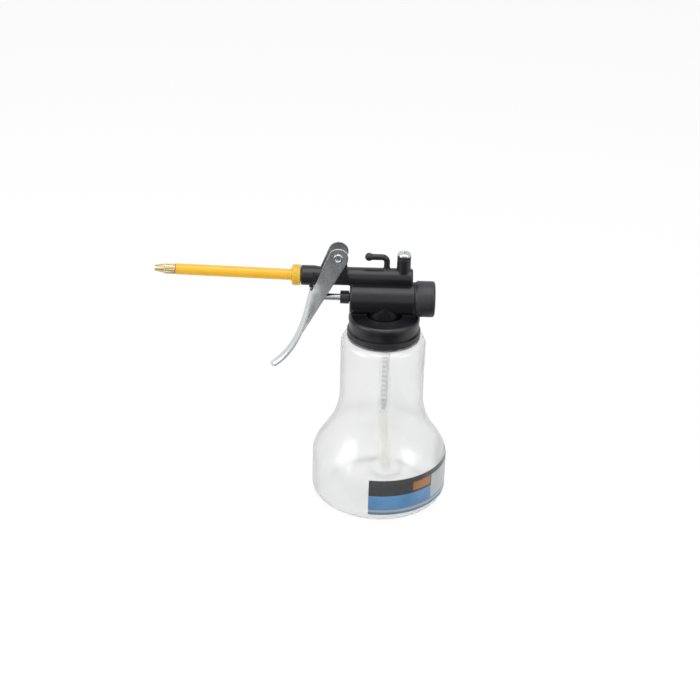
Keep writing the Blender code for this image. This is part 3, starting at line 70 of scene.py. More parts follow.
class Axis(Enum):
    """The direction a turned piece's profile runs along, as the rotation that takes +Z there."""

    X = (0.0, math.pi / 2, 0.0)
    Y = (-math.pi / 2, 0.0, 0.0)
    Z = (0.0, 0.0, 0.0)


class Body(Enum):
    """The moving bodies of the can."""

    BOTTLE = "bottle"
    HEAD = "head"
    COLLAR = "collar"
    LEVER = "squeeze_lever"
    PLUNGER = "plunger"
    NOZZLE = "nozzle"
    INLET = "inlet_valve"
    OUTLET = "outlet_valve"


@dataclass(frozen=True)
class NodeBox:
    """The box of one CAD node at rest."""

    low: Vector
    high: Vector

    @property
    def middle(self) -> Vector:
        """Return the middle of the box."""
        return (self.low + self.high) / 2


def node_box(name: str) -> NodeBox:
    """Measure a CAD node.

    Args:
        name: The node's name.

    Returns:
        Its lowest and highest corners.
    """
    low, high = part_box(name)
    return NodeBox(Vector(low), Vector(high))


AXIS_X = node_box("bottle").middle.x


# ---------------------------------------------------------------------------------------------
# Outlines
# ---------------------------------------------------------------------------------------------


def arc(centre: tuple[float, float], radius: float, start: float, end: float, steps: int) -> Profile:
    """Return the points of an arc.

    Args:
        centre: The arc's centre in its plane.
        radius: The arc's radius.
        start: The first angle in degrees.
        end: The last angle in degrees.
        steps: How many chords it has.

    Returns:
        The points, both ends included.
    """
    points = []
    for step in range(steps + 1):
        angle = math.radians(start + (end - start) * step / steps)
        points.append((centre[0] + radius * math.cos(angle), centre[1] + radius * math.sin(angle)))
    return points


def bezier(corners: list[tuple[float, float]], steps: int) -> Profile:
    """Return the points of a cubic curve.

    Args:
        corners: Its start, two handles and end.
        steps: How many chords it has.

    Returns:
        The points, both ends included.
    """
    points = []
    for step in range(steps + 1):
        t = step / steps
        weights = ((1 - t) ** 3, 3 * t * (1 - t) ** 2, 3 * t * t * (1 - t), t ** 3)
        points.append(tuple(sum(w * c[i] for w, c in zip(weights, corners)) for i in (0, 1)))
    return points


def offset_inwards(outline: Profile, distance: float) -> Profile:
    """Move an open outline to the left of its own direction.

    Args:
        outline: The outline's points.
        distance: How far it moves.

    Returns:
        The moved points.
    """
    moved = []
    for index, point in enumerate(outline):
        before = Vector(outline[max(index - 1, 0)])
        after = Vector(outline[min(index + 1, len(outline) - 1)])
        here = Vector(point)
        sides = [side.normalized() for side in (here - before, after - here) if side.length > 0]
        normals = [Vector((-side.y, side.x)) for side in sides]
        normal = sum(normals, Vector((0.0, 0.0))).normalized()
        moved.append(tuple(here + normal * distance / max(normal.dot(normals[0]), 0.5)))
    return moved


def tangent_point(centre: Vector, radius: float, point: Vector, side: int) -> Vector:
    """Return where a line from a point touches a circle.

    Args:
        centre: The circle's centre.
        radius: The circle's radius.
        point: The point outside it.
        side: 1 or -1, the side on which the line passes.

    Returns:
        The touching point.
    """
    away = point - centre
    angle = math.atan2(away.y, away.x) + side * math.acos(radius / away.length)
    return centre + radius * Vector((math.cos(angle), math.sin(angle)))


# ---------------------------------------------------------------------------------------------
# Modelling by operators
# ---------------------------------------------------------------------------------------------


def deselect_all() -> None:
    """Leave nothing selected, in object mode."""
    if bpy.context.object and bpy.context.object.mode != "OBJECT":
        bpy.ops.object.mode_set(mode="OBJECT")
    bpy.ops.object.select_all(action="DESELECT")


def activate(thing: bpy.types.Object) -> None:
    """Select one object alone and make it active."""
    deselect_all()
    thing.select_set(True)
    bpy.context.view_layer.objects.active = thing


def settle(thing: bpy.types.Object, at: Triple = (0, 0, 0), turn: Triple = (0, 0, 0)) -> None:
    """Move and turn a new object, then put its place into its mesh.

    Args:
        thing: The object.
        at: Where its own origin goes.
        turn: Its rotation.
    """
    activate(thing)
    bpy.ops.object.transform_apply(location=True, rotation=True, scale=True)
    thing.rotation_euler = turn
    thing.location = at
    bpy.ops.object.transform_apply(location=True, rotation=True, scale=True)


def close_mesh(thing: bpy.types.Object, merge: float = 0.0005 * MM) -> None:
    """Merge doubles and point every face outwards."""
    activate(thing)
    bpy.ops.object.mode_set(mode="EDIT")
    bpy.ops.mesh.select_all(action="SELECT")
    bpy.ops.mesh.remove_doubles(threshold=merge)
    bpy.ops.mesh.normals_make_consistent(inside=False)
    bpy.ops.object.mode_set(mode="OBJECT")


def smooth(thing: bpy.types.Object, degrees: float = 35.0) -> None:
    """Shade smooth except at edges over an angle."""
    activate(thing)
    bpy.ops.object.shade_smooth_by_angle(angle=math.radians(degrees))


def modify(thing: bpy.types.Object, kind: str, **settings: object) -> None:
    """Add a modifier with its settings and apply it."""
    activate(thing)
    modifier = thing.modifiers.new(kind.lower(), kind)
    for name, value in settings.items():
        setattr(modifier, name, value)
    bpy.ops.object.modifier_apply(modifier=modifier.name)


def cut(thing: bpy.types.Object, tool: bpy.types.Object, solver: str = "EXACT") -> None:
    """Cut one shape with another, which is then removed."""
    modify(thing, "BOOLEAN", operation="DIFFERENCE", object=tool, solver=solver)
    bpy.data.objects.remove(tool, do_unlink=True)


def lathe(
    name: str,
    profile: Profile,
    turn: Turn = Turn.MEDIUM,
    axis: Axis = Axis.Z,
    at: Triple = (0, 0, 0),
    angle: float = 35.0,
    tilt: float = 0.0,
) -> bpy.types.Object:
    """Turn a profile into a round piece by extruding a circle ring by ring.

    Args:
        name: The piece's name.
        profile: (radius, height) points. Ends on the axis close there, others meet each other.
        turn: How many sides the piece gets.
        axis: The direction its heights run along.
        at: Where height zero on the axis goes.
        angle: Edges over this many degrees stay sharp.
        tilt: A small extra turn about Y.

    Returns:
        The finished object.
    """
    tiny = 1e-4 * MM
    rings = [(max(radius, tiny), height) for radius, height in profile]
    if profile[0][0] > 0 or profile[-1][0] > 0:
        rings.append(rings[0])
    radius, height = rings[0]
    deselect_all()
    bpy.ops.mesh.primitive_circle_add(vertices=turn.value, radius=radius, location=(0, 0, height))
    thing = bpy.context.object
    thing.name = thing.data.name = name
    bpy.ops.object.mode_set(mode="EDIT")
    bpy.ops.mesh.select_all(action="SELECT")
    for next_radius, next_height in rings[1:]:
        rise = (0, 0, next_height - height)
        bpy.ops.mesh.extrude_region_move(TRANSFORM_OT_translate={"value": rise})
        share = next_radius / radius
        if abs(share - 1) > 1e-9:
            bpy.ops.transform.resize(value=(share, share, 1), center_override=(0, 0, next_height))
        radius, height = next_radius, next_height
    bpy.ops.object.mode_set(mode="OBJECT")
    close_mesh(thing, merge=max(2 * tiny, 0.0005 * MM))
    turned = (axis.value[0], axis.value[1] + tilt, axis.value[2])
    settle(thing, at, turned)
    smooth(thing, angle)
    return thing


def block(name: str, low: Triple, high: Triple, edge: float = 0.0) -> bpy.types.Object:
    """Make a block with rounded edges.

    Args:
        name: The object's name.
        low: Its lowest corner.
        high: Its highest corner.
        edge: The width of its bevels.

    Returns:
        The object.
    """
    deselect_all()
    middle = (Vector(low) + Vector(high)) / 2
    bpy.ops.mesh.primitive_cube_add(size=1, location=middle, scale=Vector(high) - Vector(low))
    thing = bpy.context.object
    thing.name = name
    settle(thing)
    if edge > 0:
        modify(thing, "BEVEL", width=edge, segments=3)
    return thing


def plate(name: str, outline: Profile, half_width: float, edge: float = 0.0) -> bpy.types.Object:
    """Extrude an XZ outline to both sides of the can's middle plane.

    Args:
        name: The object's name.
        outline: (x, z) points, from the can's own origin.
        half_width: How far it reaches to each side.
        edge: The width of its bevels.

    Returns:
        The object.
    """
    deselect_all()
    bpy.ops.mesh.primitive_circle_add(vertices=len(outline), radius=MM, fill_type="NGON")
    thing = bpy.context.object
    thing.name = name
    for vertex, (x, z) in zip(thing.data.vertices, outline):
        vertex.co = (x, -half_width, z)
    bpy.ops.object.mode_set(mode="EDIT")
    bpy.ops.mesh.select_all(action="SELECT")
    bpy.ops.mesh.extrude_region_move(TRANSFORM_OT_translate={"value": (0, 2 * half_width, 0)})
    bpy.ops.object.mode_set(mode="OBJECT")
    close_mesh(thing)
    if edge > 0:
        modify(thing, "BEVEL", width=edge, segments=3, limit_method="ANGLE", angle_limit=0.9)
    return thing


def wire(
    name: str,
    path: list[Vector],
    radius: float,
    shares: list[float] | None = None,
    sides: Turn = Turn.WIRE,
) -> bpy.types.Object:
    """Sweep a round section along a path.

    Args:
        name: The object's name.
        path: The points of the centre line.
        radius: The section's radius.
        shares: The radius at each point as a share of the full one.
        sides: How many sides the section gets.

    Returns:
        The swept mesh.
    """
    curve = bpy.data.curves.new(name, "CURVE")
    curve.dimensions = "3D"
    curve.bevel_depth = radius
    curve.bevel_resolution = sides.value // 4
    curve.use_fill_caps = True
    spline = curve.splines.new("POLY")
    spline.points.add(len(path) - 1)
    for index, point in enumerate(path):
        spline.points[index].co = (*point, 1.0)
        spline.points[index].radius = shares[index] if shares else 1.0
    thing = bpy.data.objects.new(name, curve)
    bpy.context.scene.collection.objects.link(thing)
    activate(thing)
    bpy.ops.object.convert(target="MESH")
    thing = bpy.context.object
    close_mesh(thing)
    smooth(thing, 50.0)
    return thing


def coil_path(radius: float, thickness: float, length: float, turns: float, per_turn: int) -> list[Vector]:
    """Return the centre line of a compression spring along +Z with closed end turns.

    Args:
        radius: The coil's radius to the wire's middle.
        thickness: The wire's thickness.
        length: The spring's whole length.
        turns: How many turns it has.
        per_turn: Points on one turn.

    Returns:
        The points.
    """
    closed = 1.0
    pitch_dead = thickness * 1.02
    live = length - thickness - 2 * closed * pitch_dead
    path = []
    for index in range(int(turns * per_turn) + 1):
        turn = index / per_turn
        share = min(max((turn - closed) / (turns - 2 * closed), 0.0), 1.0)
        dead = min(turn, closed) + max(turn - (turns - closed), 0.0)
        height = thickness / 2 + dead * pitch_dead + share * live
        angle = 2 * math.pi * turn
        path.append(Vector((radius * math.cos(angle), radius * math.sin(angle), height)))
    return path


def join(things: list[bpy.types.Object], name: str) -> bpy.types.Object:
    """Join meshes into the first one and name it."""
    activate(things[0])
    for thing in things[1:]:
        thing.select_set(True)
    bpy.ops.object.join()
    things[0].name = things[0].data.name = name
    return things[0]


# ---------------------------------------------------------------------------------------------
# Shader graphs
# ---------------------------------------------------------------------------------------------


class Graph:
    """Adds nodes to one shader tree and links them."""

    def __init__(self, tree: bpy.types.NodeTree) -> None:
        """Take the tree that nodes go into."""
        self.tree = tree

    def feed(self, socket: bpy.types.NodeSocket, value: object) -> None:
        """Link a socket to another one, or set its value."""
        if isinstance(value, bpy.types.NodeSocket):
            self.tree.links.new(value, socket)
        elif isinstance(value, tuple) and socket.type == "RGBA":
            socket.default_value = (*value[:3], 1.0)
        else:
            socket.default_value = value

    def add(self, kind: str, inputs: dict[object, object] | None = None, **settings: object) -> bpy.types.Node:
        """Add a node.

        Args:
            kind: The node's type without its ShaderNode prefix.
            inputs: Values or sockets for its inputs, by name or index.
            **settings: Its own properties.

        Returns:
            The node.
        """
        node = self.tree.nodes.new("ShaderNode" + kind)
        for name, value in settings.items():
            setattr(node, name, value)
        for key, value in (inputs or {}).items():
            self.feed(node.inputs[key], value)
        return node

    def math(self, operation: str, first: object, second: object = 0.0, clamp: bool = False) -> bpy.types.NodeSocket:
        """Combine two values and return the result's socket."""
        return self.add("Math", {0: first, 1: second}, operation=operation, use_clamp=clamp).outputs[0]

    def mix(self, share: object, first: object, second: object, blend: str = "MIX") -> bpy.types.NodeSocket:
        """Mix two colours and return the result's socket."""
        node = self.add("Mix", {0: share, 6: first, 7: second}, data_type="RGBA", blend_type=blend)
        return node.outputs[2]

    def spread(self, value: object, low: float, high: float, to_low: float, to_high: float) -> bpy.types.NodeSocket:
        """Map a range of values to another, clamped, and return the result's socket."""
        inputs = {0: value, 1: low, 2: high, 3: to_low, 4: to_high}
        return self.add("MapRange", inputs, clamp=True).outputs[0]

    def noise(self, vector: object, scale: object, detail: float = 3.0, rough: float = 0.5) -> bpy.types.NodeSocket:
        """Add a noise pattern and return its value's socket."""
        inputs = {"Vector": vector, "Scale": scale, "Detail": detail, "Roughness": rough}
        return self.add("TexNoise", inputs).outputs[0]

    def effect(self, tree: bpy.types.NodeTree, **inputs: object) -> bpy.types.Node:
        """Place a shared effect with its own values and return its node."""
        node = self.tree.nodes.new("ShaderNodeGroup")
        node.node_tree = tree
        for name, value in inputs.items():
            self.feed(node.inputs[name.replace("_", " ")], value)
        return node


def new_effect(name: str, inputs: dict[str, tuple[str, object]], outputs: dict[str, str]) -> tuple:
    """Start a shared effect.

    Args:
        name: The group's name.
        inputs: Socket kinds and default values by name.
        outputs: Socket kinds by name.

    Returns:
        The group, its graph, its input node and its output node.
    """
    tree = bpy.data.node_groups.new(name, "ShaderNodeTree")
    for label, (kind, value) in inputs.items():
        socket = tree.interface.new_socket(label, in_out="INPUT", socket_type="NodeSocket" + kind)
        if value is not None:
            socket.default_value = value
    for label, kind in outputs.items():
        tree.interface.new_socket(label, in_out="OUTPUT", socket_type="NodeSocket" + kind)
    graph = Graph(tree)
    return tree, graph, graph.tree.nodes.new("NodeGroupInput"), graph.tree.nodes.new("NodeGroupOutput")


@lru_cache(maxsize=None)
def moulded_grain() -> bpy.types.NodeTree:
    """Return the effect of a moulded skin: fine grain, slow waviness and a mottled tone."""
    tree, graph, given, result = new_effect(
        "moulded_grain",
        {"Vector": ("Vector", None), "Grain": ("Float", 2600.0), "Wave": ("Float", 90.0)},
        {"Height": "Float", "Tone": "Float"},
    )
    vector = given.outputs["Vector"]
    grain = graph.noise(vector, given.outputs["Grain"], 2.0, 0.6)
    wave = graph.noise(vector, given.outputs["Wave"], 2.0, 0.45)
    height = graph.math("MULTIPLY_ADD", wave, 0.8)
    height.node.inputs[2].default_value = 0.0
    graph.tree.links.new(grain, height.node.inputs[2])
    tone = graph.math("ADD", graph.math("MULTIPLY", grain, 0.35), graph.math("MULTIPLY", wave, 0.65))
    graph.tree.links.new(height, result.inputs["Height"])
    graph.tree.links.new(tone, result.inputs["Tone"])
    return tree


@lru_cache(maxsize=None)
def drawn_lines() -> bpy.types.NodeTree:
    """Return the effect of metal that was rolled or turned: fine lines, long streaks and spots."""
    tree, graph, given, result = new_effect(
        "drawn_lines",
        {"Vector": ("Vector", None), "Stretch": ("Vector", (1.0, 1.0, 1.0)), "Fine": ("Float", 1.0)},
        {"Height": "Float", "Streak": "Float", "Cloud": "Float"},
    )
    vector = given.outputs["Vector"]
    stretched = graph.add("VectorMath", {0: vector, 1: given.outputs["Stretch"]}, operation="MULTIPLY").outputs[0]
    fine = graph.noise(stretched, given.outputs["Fine"], 3.0, 0.6)
    cloud = graph.noise(vector, 160.0, 3.0, 0.55)
    streak = graph.spread(fine, 0.35, 0.68, 0.0, 1.0)
    graph.tree.links.new(fine, result.inputs["Height"])
    graph.tree.links.new(streak, result.inputs["Streak"])
    graph.tree.links.new(cloud, result.inputs["Cloud"])
    return tree


@lru_cache(maxsize=None)
def handled_edges() -> bpy.types.NodeTree:
    """Return the effect of edges rubbed by use, broken up by noise."""
    tree, graph, given, result = new_effect(
        "handled_edges",
        {"Vector": ("Vector", None), "Reach": ("Float", 0.56)},
        {"Wear": "Float"},
    )
    edge = graph.add("NewGeometry").outputs["Pointiness"]
    sharp = graph.add("MapRange", {0: edge, 1: 0.505, 2: given.outputs["Reach"], 3: 0.0, 4: 1.0}, clamp=True)
    broken = graph.spread(graph.noise(given.outputs["Vector"], 500.0, 4.0, 0.65), 0.35, 0.65, 0.25, 1.0)
    wear = graph.math("MULTIPLY", sharp.outputs[0], broken, clamp=True)
    graph.tree.links.new(wear, result.inputs["Wear"])
    return tree


@lru_cache(maxsize=None)
def printed_field() -> bpy.types.NodeTree:
    """Return the effect of one printed field: 1 between two values, with crisp sides."""
    tree, graph, given, result = new_effect(
        "printed_field",
        {"Value": ("Float", 0.0), "From": ("Float", 0.0), "To": ("Float", 1.0), "Soft": ("Float", 0.01)},
        {"Mask": "Float"},
    )
    value, soft = given.outputs["Value"], given.outputs["Soft"]
    rise = graph.math("DIVIDE", graph.math("SUBTRACT", value, given.outputs["From"]), soft, clamp=True)
    fall = graph.math("DIVIDE", graph.math("SUBTRACT", given.outputs["To"], value), soft, clamp=True)
    graph.tree.links.new(graph.math("MULTIPLY", rise, fall), result.inputs["Mask"])
    return tree


# ---------------------------------------------------------------------------------------------
# Finishes
# ---------------------------------------------------------------------------------------------


@dataclass(frozen=True)
class Finish:
    """A finish of the can's surfaces, with the record's slot that it stands for."""

    name: str
    slot: str

    def start(self) -> tuple[bpy.types.Material, Graph, bpy.types.Node, bpy.types.NodeSocket]:
        """Start a material.

        Returns:
            The material, its graph, its shader and its object coordinates.
        """
        material = bpy.data.materials.new(self.name)
        material.use_nodes = True
        graph = Graph(material.node_tree)
        shader = material.node_tree.nodes["Principled BSDF"]
        place = graph.add("TexCoord").outputs["Object"]
        return material, graph, shader, place

    def make(self) -> bpy.types.Material:
        """Build the finish's material."""
        raise NotImplementedError


@dataclass(frozen=True)
class MouldedPlastic(Finish):
    """A moulded plastic with a fine skin, a mottled tone and rubbed edges."""

    colour: Triple
    shade: Triple
    roughness: float = 0.4
    grain: float = 2600.0
    grain_depth: float = 0.006 * MM
    wave: float = 90.0
    wear: float = 0.25
    worn: Triple = (0.12, 0.12, 0.125)
    coat: float = 0.0
    see_into: float = 0.0

    def make(self) -> bpy.types.Material:
        """Build the plastic."""
        material, graph, shader, place = self.start()
        skin = graph.effect(moulded_grain(), Vector=place, Grain=self.grain, Wave=self.wave)
        edges = graph.effect(handled_edges(), Vector=place)
        tone = graph.spread(skin.outputs["Tone"], 0.35, 0.65, 0.0, 1.0)
        colour = graph.mix(tone, self.shade, self.colour)
        wear = graph.math("MULTIPLY", edges.outputs["Wear"], self.wear)
        graph.feed(shader.inputs["Base Color"], graph.mix(wear, colour, self.worn))
        low, high = self.roughness - 0.05, self.roughness + 0.06
        graph.feed(shader.inputs["Roughness"], graph.spread(skin.outputs["Tone"], 0.3, 0.7, low, high))
        bump = graph.add("Bump", {"Strength": 0.6, "Distance": self.grain_depth, "Height": skin.outputs["Height"]})
        graph.feed(shader.inputs["Normal"], bump.outputs[0])
        shader.inputs["Coat Weight"].default_value = self.coat
        shader.inputs["Coat Roughness"].default_value = 0.2
        shader.inputs["Subsurface Weight"].default_value = self.see_into
        shader.inputs["Subsurface Radius"].default_value = (1.0, 0.5, 0.15)
        shader.inputs["Subsurface Scale"].default_value = 1.2 * MM
        return material


@dataclass(frozen=True)
class PlatedMetal(Finish):
    """A bare or plated metal with drawn lines, cloudy plating and brighter rubbed edges."""

    colour: Triple
    shade: Triple
    roughness: float = 0.28
    stretch: Triple = (1.0, 1.0, 1.0)
    fine: float = 900.0
    line_depth: float = 0.004 * MM
    wear: float = 0.3
    bright: Triple = (0.86, 0.87, 0.88)

    def make(self) -> bpy.types.Material:
        """Build the metal."""
        material, graph, shader, place = self.start()
        lines = graph.effect(drawn_lines(), Vector=place, Stretch=self.stretch, Fine=self.fine)
        edges = graph.effect(handled_edges(), Vector=place)
        cloud = graph.spread(lines.outputs["Cloud"], 0.35, 0.65, 0.0, 1.0)
        colour = graph.mix(cloud, self.shade, self.colour)
        colour = graph.mix(graph.math("MULTIPLY", lines.outputs["Streak"], 0.18), colour, self.shade)
        wear = graph.math("MULTIPLY", edges.outputs["Wear"], self.wear)
        graph.feed(shader.inputs["Base Color"], graph.mix(wear, colour, self.bright))
        shader.inputs["Metallic"].default_value = 1.0
        streak = graph.spread(lines.outputs["Streak"], 0.0, 1.0, self.roughness - 0.04, self.roughness + 0.05)
        rough = graph.math("ADD", streak, graph.spread(lines.outputs["Cloud"], 0.3, 0.7, -0.03, 0.05))
        graph.feed(shader.inputs["Roughness"], rough)
        bump = graph.add("Bump", {"Strength": 0.5, "Distance": self.line_depth, "Height": lines.outputs["Height"]})
        graph.feed(shader.inputs["Normal"], bump.outputs[0])
        return material


@dataclass(frozen=True)
class ClearPlastic(Finish):
    """A see-through plastic with slight waviness and faint scuffs."""

    tint: Triple
    scuff: Triple
    roughness: float = 0.03
    ior: float = 1.45
    clear: float = 0.95
    wave_depth: float = 0.03 * MM
    shadow: float = 0.12
    # A darker tint that the colour takes towards the bottom: full below the first height, gone above the second.
    low_tint: Triple | None = None
    low_tint_full_below: float = 6.0 * MM
    low_tint_gone_above: float = 55.0 * MM

    def make(self) -> bpy.types.Material:
        """Build the plastic."""
        material, graph, shader, place = self.start()
        skin = graph.effect(moulded_grain(), Vector=place, Grain=420.0, Wave=60.0)
        tone = graph.spread(skin.outputs["Tone"], 0.52, 0.72, 0.0, 1.0)
        colour = graph.mix(tone, self.tint, self.scuff)
        # The colour turns darker towards the bottom, fading to the given tint between two heights.
        if self.low_tint:
            height = graph.add("SeparateXYZ", {0: place}).outputs[2]
            wall = graph.spread(height, self.low_tint_full_below, self.low_tint_gone_above, 1.0, 0.0)
            colour = graph.mix(wall, colour, self.low_tint)
        graph.feed(shader.inputs["Base Color"], colour)
        rough = graph.spread(skin.outputs["Tone"], 0.45, 0.75, self.roughness, self.roughness + 0.06)
        graph.feed(shader.inputs["Roughness"], rough)
        bump = graph.add("Bump", {"Strength": 0.35, "Distance": self.wave_depth, "Height": skin.outputs["Height"]})
        graph.feed(shader.inputs["Normal"], bump.outputs[0])
        shader.inputs["IOR"].default_value = self.ior
        shader.inputs["Transmission Weight"].default_value = self.clear
        shadowed = graph.add("LightPath").outputs["Is Shadow Ray"]
        graph.feed(shader.inputs["Alpha"], graph.spread(shadowed, 0.0, 1.0, 1.0, self.shadow))
        return material


@dataclass(frozen=True)
class SoftRubber(Finish):
    """A smooth black rubber with a dusty bloom."""

    colour: Triple = (0.018, 0.018, 0.019)
    bloom: Triple = (0.05, 0.05, 0.052)
    roughness: float = 0.68

    def make(self) -> bpy.types.Material:
        """Build the rubber."""
        material, graph, shader, place = self.start()
        skin = graph.effect(moulded_grain(), Vector=place, Grain=3200.0, Wave=220.0)
        tone = graph.spread(skin.outputs["Tone"], 0.45, 0.75, 0.0, 1.0)
        graph.feed(shader.inputs["Base Color"], graph.mix(tone, self.colour, self.bloom))
        graph.feed(shader.inputs["Roughness"], graph.spread(tone, 0.0, 1.0, self.roughness, self.roughness + 0.14))
        bump = graph.add("Bump", {"Strength": 0.5, "Distance": 0.008 * MM, "Height": skin.outputs["Height"]})
        graph.feed(shader.inputs["Normal"], bump.outputs[0])
        return material


@dataclass(frozen=True)
class LabelPanel:
    """One field of the label: its colour between two angles and two heights."""

    colour: Triple
    low_angle: float
    high_angle: float
    low: float
    high: float


@dataclass(frozen=True)
class LabelFilm(Finish):
    """A glossy film with plain fields of colour, placed by angle and height on the bottle."""

    ground: Triple = (0.13, 0.335, 0.63)
    ground_dark: Triple = (0.08, 0.235, 0.47)
    ground_low: float = 9.5 * MM
    ground_high: float = 20.5 * MM
    roughness: float = 0.24
    panels: tuple[LabelPanel, ...] = (
        LabelPanel((0.058, 0.061, 0.065), -110, 40, 20.4 * MM, 40 * MM),
        LabelPanel((0.42, 0.45, 0.47), -110, 40, 8.2 * MM, 9.9 * MM),
        LabelPanel((0.12, 0.22, 0.32), -110, 40, 0.0 * MM, 8.2 * MM),
        LabelPanel((0.50, 0.52, 0.53), -40.5, 40, 10.8 * MM, 28.4 * MM),
        LabelPanel((0.44, 0.17, 0.035), -60.5, -41.5, 22.2 * MM, 28.2 * MM),
    )

    def make(self) -> bpy.types.Material:
        """Build the film."""
        material, graph, shader, place = self.start()
        moved = graph.add("Mapping", {"Vector": place, "Location": (-AXIS_X, 0.0, 0.0)}).outputs[0]
        parts = graph.add("SeparateXYZ", {0: moved}).outputs
        angle = graph.math("DEGREES", graph.math("ARCTAN2", parts[1], parts[0]))
        height = parts[2]
        rise = graph.spread(height, self.ground_low, self.ground_high, 0.0, 1.0)
        swell = graph.noise(moved, 70.0, 1.0, 0.4)
        share = graph.math("ADD", rise, graph.spread(swell, 0.35, 0.65, -0.35, 0.35), clamp=True)
        colour = graph.mix(share, self.ground_dark, self.ground)
        for panel in self.panels:
            sides = {"Value": angle, "From": panel.low_angle, "To": panel.high_angle, "Soft": 0.15}
            ends = {"Value": height, "From": panel.low, "To": panel.high, "Soft": 0.06 * MM}
            across = graph.effect(printed_field(), **sides).outputs["Mask"]
            along = graph.effect(printed_field(), **ends).outputs["Mask"]
            colour = graph.mix(graph.math("MULTIPLY", across, along), colour, panel.colour)
        ink = graph.noise(place, 2200.0, 2.0, 0.6)
        colour = graph.mix(graph.spread(ink, 0.3, 0.7, 0.0, 0.08), colour, (0.5, 0.52, 0.54))
        graph.feed(shader.inputs["Base Color"], colour)
        low, high = self.roughness, self.roughness + 0.1
        graph.feed(shader.inputs["Roughness"], graph.spread(swell, 0.3, 0.7, low, high))
        bump = graph.add("Bump", {"Strength": 0.2, "Distance": 0.02 * MM, "Height": swell})
        graph.feed(shader.inputs["Normal"], bump.outputs[0])
        shader.inputs["Coat Weight"].default_value = 0.3
        shader.inputs["Coat Roughness"].default_value = 0.12
        return material


# The bottle's colour turns darker towards the bottom.
CLEAR_BOTTLE = ClearPlastic(
    "clear_bottle", "bottle_plastic", (0.968, 0.969, 0.971), (0.955, 0.956, 0.959), roughness=0.15, clear=0.92,
    low_tint=(0.915, 0.917, 0.92),
)
CLEAR_STEM = ClearPlastic(
    "clear_stem", "tube_plastic", (0.97, 0.97, 0.97), (0.95, 0.95, 0.95), roughness=0.03, ior=1.22, clear=0.98
)
CLEAR_TUBE = ClearPlastic(
    "clear_tube", "tube_plastic", (0.985, 0.98, 0.96), (0.96, 0.955, 0.93), roughness=0.06, ior=1.22, clear=0.94
)
CLEAR_FOOT = ClearPlastic(
    "frosted_foot", "pale_plastic", (0.97, 0.97, 0.965), (0.94, 0.94, 0.93), roughness=0.2, ior=1.25, clear=0.75
)
CLEAR_FILM = ClearPlastic(
    "clear_film", "label_film", (0.99, 0.99, 0.99), (0.98, 0.98, 0.98), roughness=0.05, ior=1.3, clear=1.0
)
BLACK = MouldedPlastic(
    "black_moulding", "black_plastic", (0.009, 0.009, 0.0115), (0.0065, 0.0065, 0.0085), roughness=0.33
)
CAP_BLACK = MouldedPlastic(
    "black_cap", "black_plastic", (0.017, 0.017, 0.021), (0.013, 0.013, 0.016), roughness=0.43
)
PALE = MouldedPlastic(
    "natural_moulding",
    "pale_plastic",
    (0.76, 0.75, 0.71),
    (0.69, 0.68, 0.64),
    roughness=0.45,
    worn=(0.8, 0.79, 0.75),
    see_into=0.2,
)
YELLOW = MouldedPlastic(
    "yellow_nut",
    "yellow_plastic",
    (0.84, 0.53, 0.028),
    (0.76, 0.45, 0.024),
    roughness=0.33,
    worn=(0.88, 0.72, 0.15),
    coat=0.15,
    see_into=0.15,
)
ORANGE = MouldedPlastic(
    "orange_tube",
    "orange_plastic",
    (0.97, 0.56, 0.022),
    (0.93, 0.49, 0.020),
    roughness=0.3,
    worn=(0.9, 0.55, 0.1),
    coat=0.2,
    see_into=0.15,
)
ZINC = PlatedMetal(
    "zinc_sheet",
    "zinc_sheet",
    (0.77, 0.79, 0.80),
    (0.73, 0.75, 0.765),
    roughness=0.28,
    line_depth=0.0004 * MM,
    wear=0.10,
    stretch=(1.0, 1.0, 0.12),
    fine=1400.0,
)
STEEL = PlatedMetal("bright_steel", "bright_steel", (0.66, 0.68, 0.70), (0.56, 0.58, 0.60), roughness=0.2)
SPRING_STEEL = PlatedMetal(
    "spring_steel", "bright_steel", (0.30, 0.31, 0.32), (0.22, 0.23, 0.24), roughness=0.3
)
DRAWN_STEEL = PlatedMetal(
    "drawn_rod", "bright_steel", (0.58, 0.60, 0.62), (0.48, 0.50, 0.53), roughness=0.24, stretch=(0.08, 1.0, 1.0)
)
BRASS = PlatedMetal(
    "turned_brass",
    "tip_brass",
    (0.78, 0.62, 0.38),
    (0.56, 0.44, 0.26),
    roughness=0.3,
    bright=(0.80, 0.68, 0.48),
    stretch=(1.0, 0.3, 0.3),
)
RUBBER = SoftRubber("seal_rubber", "seal_rubber")
LABEL = LabelFilm("label_film", "label_film")
LABEL_BACK = MouldedPlastic(
    "label_backing",
    "label_film",
    (0.90, 0.905, 0.91),
    (0.85, 0.855, 0.86),
    roughness=0.55,
    worn=(0.9, 0.9, 0.9),
)


@lru_cache(maxsize=None)
def material_of(finish: Finish) -> bpy.types.Material:
    """Return a finish's one material."""
    return finish.make()


def dress(thing: bpy.types.Object, finish: Finish, body: Body, *nodes: str) -> bpy.types.Object:
    """Give a finished piece its material, body and the CAD nodes that it stands for.

    Args:
        thing: The piece.
        finish: Its finish.
        body: The body that it rides on.
        *nodes: The CAD nodes that it replaces.

    Returns:
        The piece.
    """
    thing.data.materials.clear()
    thing.data.materials.append(material_of(finish))
    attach(thing, body.value)
    if nodes:
        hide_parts(*nodes)
    LOG.info("%s: %d faces, rides on %s", thing.name, len(thing.data.polygons), body.value)
    return thing


def dress_node(name: str, finish: Finish) -> None:
    """Give a CAD node that stays its finish."""
    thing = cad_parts[name]
    for slot in thing.material_slots:
        slot.material = material_of(finish)
    LOG.info("%s: kept from the frame", name)


# ---------------------------------------------------------------------------------------------
# Sub-assemblies
# ---------------------------------------------------------------------------------------------


